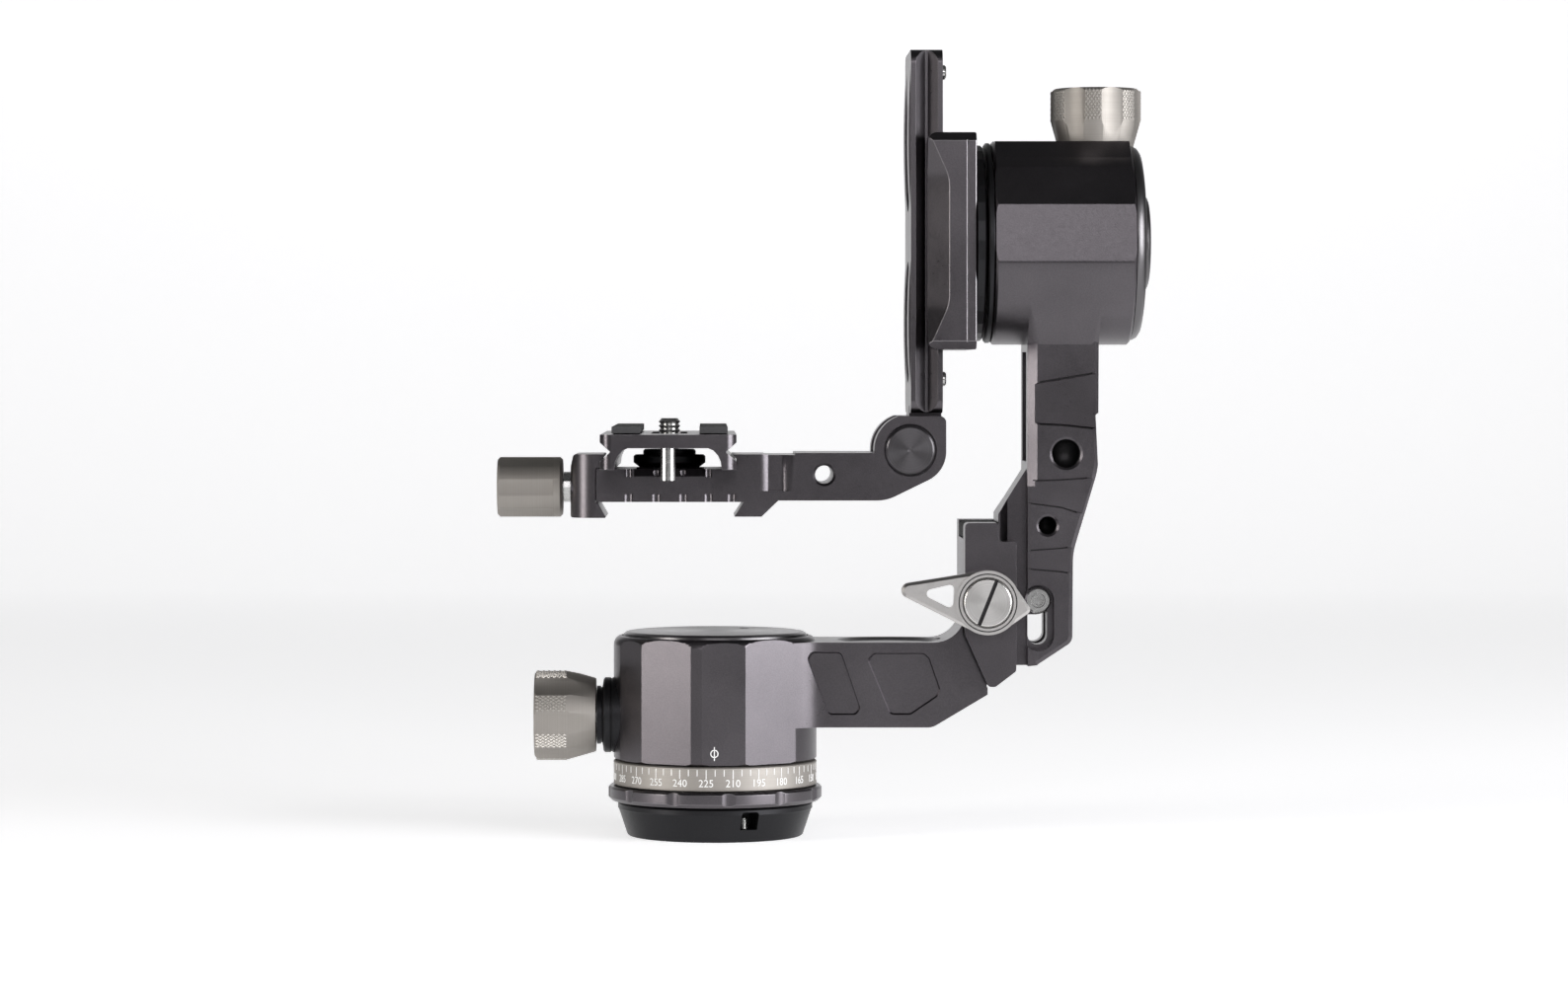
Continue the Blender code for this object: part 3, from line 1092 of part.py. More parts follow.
def drum_trim(joint):
    """Covers and bearings of the tilt drum."""
    finish(ring("drum_cover_ring", DRUM_COVER_RADIUS, TILT_SHAFT_RADIUS + RUNNING_GAP,
                DRUM_LEFT_X - GAP - DRUM_COVER_THICKNESS, DRUM_LEFT_X - GAP,
                (0, 0, TILT_HEIGHT), "X"), BLACK, joint)
    for side, left in (("left", LEFT_BEARING_LEFT_X), ("right", RIGHT_BEARING_LEFT_X)):
        finish(ring(f"tilt_bearing_{side}", TILT_BEARING_RADIUS, TILT_SHAFT_RADIUS + GAP,
                    left, left + TILT_BEARING_WIDTH, (0, 0, TILT_HEIGHT), "X", edge=0),
               STEEL, joint)
    low = DRUM_RIGHT_X + GAP
    dome_share = 0.93
    finish(turned("drum_end_cap", [
        (0, low + END_CAP_RISE),
        (END_CAP_RADIUS * dome_share, low + END_CAP_RISE),
        (END_CAP_RADIUS, low + END_CAP_RISE / 3),
        (END_CAP_RADIUS, low),
        (TILT_BEARING_RADIUS, low),
        (TILT_BEARING_RADIUS, low + END_CAP_RISE - END_CAP_WALL),
        (0, low + END_CAP_RISE - END_CAP_WALL),
    ], (0, 0, TILT_HEIGHT), "X"), ANODISED, joint)
    boss_low = low + END_CAP_RISE + GAP
    finish(turned("drum_boss", [
        (0, boss_low + BOSS_RISE),
        (BOSS_RADIUS - 2 * EDGE, boss_low + BOSS_RISE),
        (BOSS_RADIUS, boss_low + BOSS_RISE - 2 * EDGE),
        (BOSS_RADIUS, boss_low),
        (0, boss_low),
    ], (0, 0, TILT_HEIGHT), "X"), ANODISED, joint)


def tilt_pieces(joint):
    """What turns inside the drum, and the rail clamp's fixed half."""
    nut_left = RIGHT_BEARING_LEFT_X + TILT_BEARING_WIDTH + GAP
    shaft = turned("tilt_shaft", [
        (0, nut_left + TILT_NUT_HEIGHT),
        (TILT_THREAD_RADIUS, nut_left + TILT_NUT_HEIGHT),
        (TILT_THREAD_RADIUS, nut_left - GAP),
        (TILT_SHAFT_RADIUS, nut_left - GAP),
        (TILT_SHAFT_RADIUS, TILT_FLANGE_RIGHT_X),
        (TILT_FLANGE_RADIUS - EDGE, TILT_FLANGE_RIGHT_X),
        (TILT_FLANGE_RADIUS, TILT_FLANGE_RIGHT_X - EDGE),
        (TILT_FLANGE_RADIUS, TILT_FLANGE_LEFT_X),
        (0, TILT_FLANGE_LEFT_X),
    ], (0, 0, TILT_HEIGHT), "X")
    hex_nut("tilt_shaft_nut", TILT_NUT_RADIUS, TILT_THREAD_RADIUS + GAP, (nut_left, 0, TILT_HEIGHT),
            TILT_NUT_HEIGHT, "X", joint)

    low, high = TILT_HEIGHT - RAIL_CLAMP_HALF_HEIGHT, TILT_HEIGHT + RAIL_CLAMP_HALF_HEIGHT
    clamp = block("rail_clamp_body", (RAIL_CLAMP_LEFT_X, -RAIL_CLAMP_HALF_DEPTH, low),
                  (RAIL_CLAMP_RIGHT_X, RAIL_CLAMP_SPLIT_Y, high))
    soften(clamp, 2 * EDGE, 1, 50)
    cut(clamp, rail_room("near_rail_room", -1))

    head_left = RAIL_SEAT_X + GAP
    tip_x = TILT_FLANGE_LEFT_X + CLAMP_SCREW_THREAD
    for label, side in (("lower", -1), ("upper", 1)):
        height = TILT_HEIGHT + side * CLAMP_SCREW_REACH
        cut(clamp, turned("clamp_screw_hole_" + label, [
            (0, RAIL_CLAMP_RIGHT_X + OVERRUN),
            (CLAMP_SCREW_RADIUS + GAP, RAIL_CLAMP_RIGHT_X + OVERRUN),
            (CLAMP_SCREW_RADIUS + GAP, head_left + CLAMP_SCREW_HEAD_HEIGHT + GAP),
            (CLAMP_SCREW_HEAD_RADIUS + GAP, head_left + CLAMP_SCREW_HEAD_HEIGHT + GAP),
            (CLAMP_SCREW_HEAD_RADIUS + GAP, RAIL_SEAT_X - OVERRUN),
            (0, RAIL_SEAT_X - OVERRUN),
        ], (0, 0, height), "X", TINY_ROUND))
        cut(shaft, rod("shaft_screw_hole_" + label, CLAMP_SCREW_RADIUS + GAP,
                       (TILT_FLANGE_LEFT_X - OVERRUN, 0, height),
                       OVERRUN + CLAMP_SCREW_THREAD + GAP, "X", TINY_ROUND))
        finish(turned("rail_clamp_screw_" + label, [
            (0, tip_x),
            (CLAMP_SCREW_RADIUS, tip_x),
            (CLAMP_SCREW_RADIUS, head_left + CLAMP_SCREW_HEAD_HEIGHT),
            (CLAMP_SCREW_HEAD_RADIUS, head_left + CLAMP_SCREW_HEAD_HEIGHT),
            (CLAMP_SCREW_HEAD_RADIUS, head_left),
            (0, head_left),
        ], (0, 0, height), "X", TINY_ROUND), STEEL, joint)
    finish(shaft, BLACK, joint)

    centre_x = (RAIL_SEAT_X + RAIL_CLAMP_RIGHT_X) / 2
    cut(clamp, rod("rail_screw_bore", LOCK_SCREW_RADIUS + GAP,
                   (centre_x, -RAIL_CLAMP_SPLIT_Y, TILT_HEIGHT), 3 * RAIL_CLAMP_SPLIT_Y, "Y"))
    pin_length = RAIL_CLAMP_HALF_DEPTH - JAW_PIN_COVER - GAP
    for label, height in (("lower", TILT_HEIGHT - RAIL_PIN_RISE), ("upper", TILT_HEIGHT + RAIL_PIN_RISE)):
        add(clamp, rod("rail_guide_pin_" + label, GUIDE_PIN_RADIUS, (centre_x, 0, height), pin_length,
                       "Y", TINY_ROUND))
    return finish(clamp, ANODISED, joint)


def rail_room(name, side):
    """The room in the clamp for the rail, with the flank that hooks into the groove on one side."""
    middle_x = RAIL_LEFT_X + RAIL_THICKNESS / 2
    slope = RAIL_GROOVE_DEPTH / (RAIL_THICKNESS / 2 - RAIL_LIP)
    groove = RAIL_HALF_WIDTH - RAIL_GROOVE_DEPTH + 1.5 * GAP
    seat_y = RAIL_HALF_WIDTH + GAP
    left_x = RAIL_CLAMP_LEFT_X - OVERRUN
    return prism(name, [
        (left_x, side * (groove + slope * (left_x - middle_x))),
        (middle_x + (seat_y - groove) / slope, side * seat_y),
        (RAIL_SEAT_X, side * seat_y),
        (RAIL_SEAT_X, -side * RAIL_HALF_WIDTH),
        (left_x, -side * RAIL_HALF_WIDTH),
    ], TILT_HEIGHT - RAIL_CLAMP_HALF_HEIGHT - OVERRUN, TILT_HEIGHT + RAIL_CLAMP_HALF_HEIGHT + OVERRUN, "Z")


def rail_jaw(jaw_joint, knob_joint):
    """The moving far half of the rail clamp, with its knob and screw."""
    low, high = TILT_HEIGHT - RAIL_CLAMP_HALF_HEIGHT, TILT_HEIGHT + RAIL_CLAMP_HALF_HEIGHT
    centre_x = (RAIL_SEAT_X + RAIL_CLAMP_RIGHT_X) / 2
    jaw = block("rail_clamp_jaw", (RAIL_CLAMP_LEFT_X, RAIL_CLAMP_SPLIT_Y + GAP, low),
                (RAIL_CLAMP_RIGHT_X, RAIL_CLAMP_HALF_DEPTH, high))
    soften(jaw, 2 * EDGE, 1, 50)
    cut(jaw, rail_room("far_rail_room", 1))
    cut(jaw, rod("rail_jaw_bore", LOCK_SCREW_RADIUS + GAP, (centre_x, 0, TILT_HEIGHT),
                 RAIL_CLAMP_HALF_DEPTH + OVERRUN, "Y"))
    for label, height in (("lower", TILT_HEIGHT - RAIL_PIN_RISE), ("upper", TILT_HEIGHT + RAIL_PIN_RISE)):
        cut(jaw, rod("rail_jaw_pin_hole_" + label, GUIDE_PIN_RADIUS + GAP, (centre_x, 0, height),
                     RAIL_CLAMP_HALF_DEPTH - JAW_PIN_COVER, "Y", TINY_ROUND))
    finish(jaw, ANODISED, jaw_joint)
    plain_knob("rail_clamp", (centre_x, RAIL_CLAMP_HALF_DEPTH + GAP, TILT_HEIGHT), (-pi / 2, 0, 0),
               RAIL_KNOB_RADIUS, RAIL_KNOB_LENGTH, RAIL_SCREW_LENGTH, RAIL_KNOB_STEM, knob_joint)


def plain_knob(prefix, origin, turn, radius, length, screw_length, stem_length, joint):
    """A plain clamp knob with wide flutes and a screw. It is drawn upright, foot at the stem."""
    flute_count, rim_share, flute_radius_share, flute_depth_share = 6, 0.18, 1.1, 0.07
    foot = stem_length
    knob = turned(prefix + "_knob", [
        (0, foot + length),
        (radius - PLAIN_KNOB_CHAMFER, foot + length),
        (radius, foot + length - PLAIN_KNOB_CHAMFER),
        (radius, foot + PLAIN_KNOB_CHAMFER),
        (radius - PLAIN_KNOB_CHAMFER, foot),
        (LOCK_SCREW_RADIUS + GAP, foot),
        (LOCK_SCREW_RADIUS + GAP, foot + PLAIN_KNOB_BORE_DEPTH),
        (0, foot + PLAIN_KNOB_BORE_DEPTH),
    ], origin, "Z")
    knob.rotation_euler = turn
    flute_radius, flute_depth = flute_radius_share * radius, flute_depth_share * radius
    for index in range(flute_count):
        angle = 2 * pi * (index + 0.5) / flute_count
        reach = radius + flute_radius - flute_depth
        flute = rod(f"{prefix}_flute_{index}", flute_radius,
                    (reach * cos(angle), reach * sin(angle), foot + rim_share * length),
                    length + OVERRUN, "Z", ROUND)
        flute.data.transform(Matrix.Translation(flute.location))
        flute.location = origin
        flute.rotation_euler = turn
        cut(knob, flute)
    finish(knob, TITANIUM, joint)
    screw_top = foot + PLAIN_KNOB_BORE_DEPTH - GAP
    profile = [(0, screw_top), (LOCK_SCREW_RADIUS, screw_top)]
    if stem_length:
        profile += [(LOCK_SCREW_RADIUS, foot - GAP), (STEM_RADIUS, foot - GAP), (STEM_RADIUS, 0)]
    profile += [(LOCK_SCREW_RADIUS, 0), (LOCK_SCREW_RADIUS, -screw_length), (0, -screw_length)]
    screw = turned(prefix + "_screw", profile, origin, "Z", SMALL_ROUND)
    screw.rotation_euler = turn
    return finish(screw, STEEL, joint)


def rail(joint):
    """The height rail with the hinge knuckle at its foot, and its two stop screws."""
    middle_x = RAIL_LEFT_X + RAIL_THICKNESS / 2
    edge_y, groove_y = RAIL_HALF_WIDTH, RAIL_HALF_WIDTH - RAIL_GROOVE_DEPTH
    side = [(RAIL_LEFT_X, edge_y), (RAIL_LEFT_X + RAIL_LIP, edge_y), (middle_x, groove_y),
            (RAIL_RIGHT_X - RAIL_LIP, edge_y), (RAIL_RIGHT_X, edge_y)]
    body = prism("height_rail", side + [(x, -y) for x, y in reversed(side)], RAIL_BOTTOM, RAIL_TOP, "Z")
    window_shares = {"upper": (0.558, 0.866), "middle": (0.241, 0.421), "lower": (0.083, 0.201)}
    height = RAIL_TOP - RAIL_BOTTOM
    for label, (low_share, high_share) in window_shares.items():
        half_width = min(RAIL_WINDOW_HALF_WIDTH, (high_share - low_share) * height / 2)
        low = (0, RAIL_BOTTOM + low_share * height + half_width)
        high = (0, RAIL_BOTTOM + high_share * height - half_width)
        cut(body, prism("rail_window_" + label, obround(low, high, half_width), RAIL_LEFT_X - OVERRUN,
                        RAIL_RIGHT_X + OVERRUN, "X"))
    knuckle_radius = EAR_OUTER_RADIUS - 2 * GAP
    knuckle = prism("knuckle", arc((HINGE_X, HINGE_HEIGHT), knuckle_radius, 90, 360, 27)
                    + [(RAIL_RIGHT_X, RAIL_BOTTOM + OVERRUN), (HINGE_X, RAIL_BOTTOM + OVERRUN)],
                    -KNUCKLE_HALF_WIDTH, KNUCKLE_HALF_WIDTH)
    add(body, knuckle)
    cut(body, rod("knuckle_bore", HINGE_PIN_RADIUS + GAP,
                  (HINGE_X, -RAIL_HALF_WIDTH, HINGE_HEIGHT), 2 * RAIL_HALF_WIDTH, "Y"))
    screw_shares = {"lower": (0.55, 0.093), "upper": (0.55, 0.940)}
    for label, (width_share, height_share) in screw_shares.items():
        place = (0, -width_share * RAIL_HALF_WIDTH, RAIL_BOTTOM + height_share * height)
        cut(body, rod(f"stop_hole_{label}", STOP_SHANK_RADIUS + GAP,
                      (RAIL_RIGHT_X - STOP_SHANK_DEPTH - GAP, place[1], place[2]),
                      STOP_SHANK_DEPTH + OVERRUN, "X", TINY_ROUND))
        finish(turned(f"rail_stop_screw_{label}", [
            (0, RAIL_RIGHT_X + GAP + STOP_SCREW_HEIGHT),
            (STOP_SCREW_RADIUS - EDGE, RAIL_RIGHT_X + GAP + STOP_SCREW_HEIGHT),
            (STOP_SCREW_RADIUS, RAIL_RIGHT_X + GAP + EDGE),
            (STOP_SCREW_RADIUS, RAIL_RIGHT_X + GAP),
            (STOP_SHANK_RADIUS, RAIL_RIGHT_X + GAP),
            (STOP_SHANK_RADIUS, RAIL_RIGHT_X - STOP_SHANK_DEPTH),
            (0, RAIL_RIGHT_X - STOP_SHANK_DEPTH),
        ], place, "X", TINY_ROUND), STEEL, joint)
    return finish(body, ANODISED, joint)


def platform(joint):
    """The bar with the hinge ears and the clamp's fixed half."""
    ear = EAR_OUTER_RADIUS
    step_top = BAR_TOP - BAR_STEP_DROP
    foot_low = CLAMP_BED_BOTTOM - FOOT_DROP
    plate_edge_x = PLATE_X + PLATE_HALF_WIDTH + GAP
    hook_low = PLATE_BOTTOM + PLATE_LIP + GAP / 2
    top_end = HINGE_X - sqrt(ear ** 2 - HINGE_RISE ** 2)
    flat_turn = 180 - rise_angle(EAR_TOP_RISE, ear)
    low_turn = 180 + rise_angle(HINGE_RISE, ear)
    ear_foot_shares = ((0.64, -0.73), (1, -0.30))
    ear_root_shares = ((-0.75, 0), (-0.45, -1.31))
    corner_share = 0.3
    outline = [(HINGE_X + x * ear, HINGE_HEIGHT + z * ear) for x, z in ear_foot_shares]
    outline += [
        (HINGE_X + ear, HINGE_HEIGHT + EAR_TOP_RISE - EAR_CORNER),
        (HINGE_X + ear - corner_share * EAR_CORNER, HINGE_HEIGHT + EAR_TOP_RISE - corner_share * EAR_CORNER),
        (HINGE_X + ear - EAR_CORNER, HINGE_HEIGHT + EAR_TOP_RISE),
    ]
    outline += arc((HINGE_X, HINGE_HEIGHT), ear, flat_turn, low_turn, 12)[:-1]
    outline += [
        (top_end, BAR_TOP),
        (BAR_STEP_X, BAR_TOP),
        (BAR_STEP_X, step_top),
        (FIXED_JAW_RIGHT_X, step_top),
        (FIXED_JAW_RIGHT_X - EAR_CORNER / 3, JAW_TOP),
        (FIXED_JAW_LEFT_X, JAW_TOP),
        (plate_edge_x, hook_low),
        (plate_edge_x, CLAMP_BED_TOP),
        (CLAMP_BED_LEFT_X, CLAMP_BED_TOP),
        (CLAMP_BED_LEFT_X, CLAMP_BED_BOTTOM),
        (FOOT_INNER_X, CLAMP_BED_BOTTOM),
        (FOOT_LEFT_X, foot_low),
        (FOOT_RIGHT_X, foot_low),
        (FOOT_ROOT_X, BAR_BOTTOM),
        (HINGE_X + ear_root_shares[0][0] * ear, BAR_BOTTOM),
        (HINGE_X + ear_root_shares[1][0] * ear, HINGE_HEIGHT + ear_root_shares[1][1] * ear),
    ]
    body = prism("platform_bar", outline, -PLATFORM_HALF_DEPTH, PLATFORM_HALF_DEPTH)
    soften(body, EDGE, 1, 60)
    room = KNUCKLE_HALF_WIDTH + GAP
    cut(body,
        block("knuckle_room", (HINGE_X - ear + GAP, -room, BAR_BOTTOM - OVERRUN),
              (HINGE_X + 2 * ear, room, RAIL_BOTTOM + OVERRUN)),
        block("knuckle_room_top", (HINGE_X - ear - OVERRUN, -room, BAR_TOP),
              (HINGE_X, room, RAIL_BOTTOM + OVERRUN)))
    cut(body, rod("hinge_bore", HINGE_PIN_RADIUS + GAP,
                  (HINGE_X, -2 * PLATFORM_HALF_DEPTH, HINGE_HEIGHT), 4 * PLATFORM_HALF_DEPTH, "Y"))
    cap_depth = HINGE_CAP_THICKNESS + GAP
    for side in (-1, 1):
        low, high = sorted((side * (PLATFORM_HALF_DEPTH - cap_depth), side * (PLATFORM_HALF_DEPTH + OVERRUN)))
        cut(body, rod(f"cap_seat_{side}", HINGE_CAP_RADIUS + RUNNING_GAP, (HINGE_X, low, HINGE_HEIGHT),
                      high - low, "Y", ROUND))
    cut(body, rod("bar_hole", BAR_HOLE_RADIUS,
                  (BAR_HOLE_X, -2 * PLATFORM_HALF_DEPTH, BAR_TOP - BAR_HOLE_DROP),
                  4 * PLATFORM_HALF_DEPTH, "Y"))
    recess_left_share, recess_right_share = 0.50, 0.52
    cut(body, block("bed_recess",
                    (PLATE_X - recess_left_share * PLATE_HALF_WIDTH, -2 * PLATFORM_HALF_DEPTH,
                     CLAMP_BED_TOP - BED_RECESS_DEPTH),
                    (PLATE_X + recess_right_share * PLATE_HALF_WIDTH, 2 * PLATFORM_HALF_DEPTH,
                     CLAMP_BED_TOP + OVERRUN)))
    cut(body, rod("platform_screw_bore", LOCK_SCREW_RADIUS + GAP,
                  (CLAMP_BED_LEFT_X - OVERRUN, 0, PLATFORM_SCREW_HEIGHT), PLATFORM_SCREW_REACH, "X"))
    for label, side in (("front", -1), ("rear", 1)):
        add(body, rod("platform_guide_pin_" + label, GUIDE_PIN_RADIUS,
                      (CLAMP_BED_LEFT_X - PLATFORM_PIN_PROUD, side * PLATFORM_PIN_REACH,
                       PLATFORM_SCREW_HEIGHT),
                      PLATFORM_PIN_PROUD + OVERRUN, "X", TINY_ROUND))
    scallop_shares = (0.21, 0.37, 0.53, 0.69)
    for index, share in enumerate(scallop_shares):
        x = CLAMP_BED_LEFT_X + share * (plate_edge_x - CLAMP_BED_LEFT_X)
        cut(body, rod(f"bed_scallop_{index}", SCALLOP_RADIUS,
                      (x, -2 * PLATFORM_HALF_DEPTH, CLAMP_BED_BOTTOM - SCALLOP_RADIUS + SCALLOP_DEPTH),
                      4 * PLATFORM_HALF_DEPTH, "Y"))
    finish(body, ANODISED, joint)

    finish(rod("hinge_pin", HINGE_PIN_RADIUS,
               (HINGE_X, -PLATFORM_HALF_DEPTH + HINGE_CAP_THICKNESS + GAP, HINGE_HEIGHT),
               2 * (PLATFORM_HALF_DEPTH - HINGE_CAP_THICKNESS - GAP), "Y"), STEEL, joint)
    for label, side in (("front", -1), ("rear", 1)):
        low, high = sorted((side * PLATFORM_HALF_DEPTH, side * (PLATFORM_HALF_DEPTH - HINGE_CAP_THICKNESS)))
        finish(rod(f"hinge_cap_{label}", HINGE_CAP_RADIUS, (HINGE_X, low, HINGE_HEIGHT), high - low,
                   "Y", ROUND), BLACK, joint)


def rise_angle(rise, radius):
    """The angle whose sine is rise over radius, in degrees."""
    return atan2(rise, sqrt(radius ** 2 - rise ** 2)) * 180 / pi


def platform_jaw(jaw_joint, knob_joint):
    """The moving jaw, which grips a plate on JAW_TOP or underneath, with its knob and screw."""
    low = CLAMP_BED_BOTTOM - MOVING_JAW_DROP
    plate_edge_x = PLATE_X - PLATE_HALF_WIDTH - GAP
    hook_low = PLATE_BOTTOM + PLATE_LIP + GAP / 2
    inner_x = CLAMP_BED_LEFT_X - GAP
    jaw = prism("platform_jaw", [
        (MOVING_JAW_LEFT_X, low),
        (inner_x + JAW_FOOT_REACH, low),
        (inner_x + 2 * EDGE, CLAMP_BED_BOTTOM - GAP),
        (inner_x, CLAMP_BED_BOTTOM - GAP),
        (inner_x, CLAMP_BED_TOP + GAP),
        (plate_edge_x, CLAMP_BED_TOP + GAP),
        (plate_edge_x, hook_low),
        (plate_edge_x + JAW_HOOK_REACH, JAW_TOP),
        (MOVING_JAW_LEFT_X + JAW_CHAMFER, JAW_TOP),
        (MOVING_JAW_LEFT_X, JAW_TOP - JAW_CHAMFER),
    ], -JAW_HALF_LENGTH, JAW_HALF_LENGTH)
    soften(jaw, EDGE, 1, 60)
    cut(jaw, rod("jaw_screw_hole", LOCK_SCREW_RADIUS + GAP,
                 (MOVING_JAW_LEFT_X - OVERRUN, 0, PLATFORM_SCREW_HEIGHT),
                 inner_x - MOVING_JAW_LEFT_X + 2 * OVERRUN, "X"))
    for label, side in (("front", -1), ("rear", 1)):
        cut(jaw, rod("jaw_pin_hole_" + label, GUIDE_PIN_RADIUS + GAP,
                     (MOVING_JAW_LEFT_X - OVERRUN, side * PLATFORM_PIN_REACH, PLATFORM_SCREW_HEIGHT),
                     inner_x - MOVING_JAW_LEFT_X + 2 * OVERRUN, "X", TINY_ROUND))
    finish(jaw, ANODISED, jaw_joint)
    stem_length = MOVING_JAW_LEFT_X - GAP - PLATFORM_KNOB_FACE_X
    plain_knob("platform_clamp", (MOVING_JAW_LEFT_X - GAP, 0, PLATFORM_SCREW_HEIGHT), (0, -pi / 2, 0),
               PLATFORM_KNOB_RADIUS, PLATFORM_KNOB_LENGTH,
               PLATFORM_SCREW_LENGTH, stem_length, knob_joint)


def quick_release_plate(plate_joint, screw_joint):
    """The plate with its pads and stop pins, and the camera screw."""
    neck = PLATE_HALF_WIDTH - PLATE_GROOVE_DEPTH
    neck_height = PLATE_BOTTOM + PLATE_LIP + PLATE_GROOVE_DEPTH
    channel_top_share, channel_foot_share = 0.63, 0.80
    channel_top = PLATE_TOP - PLATE_WEB
    half = [
        (PLATE_HALF_WIDTH * channel_top_share, channel_top),
        (PLATE_HALF_WIDTH * channel_foot_share, PLATE_BOTTOM),
        (PLATE_HALF_WIDTH, PLATE_BOTTOM),
        (PLATE_HALF_WIDTH, PLATE_BOTTOM + PLATE_LIP),
        (neck, neck_height),
        (PLATE_HALF_WIDTH, PLATE_TOP - PLATE_LIP),
        (PLATE_HALF_WIDTH, PLATE_TOP),
    ]
    outline = [(PLATE_X + x, z) for x, z in half] + [(PLATE_X - x, z) for x, z in reversed(half)]
    body = prism("quick_release_plate", outline, -PLATE_HALF_LENGTH, PLATE_HALF_LENGTH)
    slot_half_share = 0.42
    slot_reach = slot_half_share * PLATE_HALF_LENGTH
    cut(body, prism("screw_slot", obround((PLATE_X, -slot_reach), (PLATE_X, slot_reach),
                                          CAMERA_THREAD_RADIUS + GAP),
                    channel_top - OVERRUN, PLATE_TOP + OVERRUN, "Z"))
    pin_reach = PLATE_HALF_LENGTH - PIN_END_MARGIN
    for label, y in (("front", -pin_reach), ("rear", pin_reach)):
        cut(body, rod("stop_pin_hole_" + label, STOP_PIN_RADIUS + GAP,
                      (PLATE_X, y, PLATE_BOTTOM), PLATE_HEIGHT - PLATE_WEB / 2, "Z"))
        finish(rod("plate_stop_pin_" + label, STOP_PIN_RADIUS,
                   (PLATE_X, y, PLATE_BOTTOM - STOP_PIN_DROP),
                   PLATE_HEIGHT - PLATE_WEB / 2 + STOP_PIN_DROP - GAP, "Z"), STEEL, plate_joint)
    finish(body, ANODISED, plate_joint)
    pad_inner_share, pad_outer_share, pad_end_share = 0.435, 0.855, 0.90
    for label, side in (("left", -1), ("right", 1)):
        inner, outer = sorted((side * pad_inner_share, side * pad_outer_share))
        finish(block("plate_grip_pad_" + label,
                     (PLATE_X + inner * PLATE_HALF_WIDTH, -pad_end_share * PLATE_HALF_LENGTH,
                      PLATE_TOP + GAP),
                     (PLATE_X + outer * PLATE_HALF_WIDTH, pad_end_share * PLATE_HALF_LENGTH,
                      PLATE_TOP + GAP + PAD_THICKNESS)), RUBBER, plate_joint)

    ring_low_share, ring_high_share = 0.14, 0.64
    head_low = PLATE_BOTTOM + GAP
    head_high = channel_top - GAP
    head_height = head_high - head_low
    finish(turned("camera_screw", [
        (0, PLATE_TOP + CAMERA_THREAD_RISE),
        (CAMERA_THREAD_RADIUS - EDGE, PLATE_TOP + CAMERA_THREAD_RISE),
        (CAMERA_THREAD_RADIUS, PLATE_TOP + CAMERA_THREAD_RISE - EDGE),
        (CAMERA_THREAD_RADIUS, head_high),
        (CAMERA_HEAD_RADIUS, head_high),
        (CAMERA_HEAD_RADIUS, head_low + EDGE),
        (CAMERA_HEAD_RADIUS - EDGE, head_low),
        (0, head_low),
    ], (PLATE_X, 0, 0)), STEEL, screw_joint)
    finish(ring("camera_screw_ring", CAMERA_RING_RADIUS, CAMERA_HEAD_RADIUS + GAP,
                head_low + ring_low_share * head_height, head_low + ring_high_share * head_height,
                (PLATE_X, 0, 0)), BLACK, screw_joint)


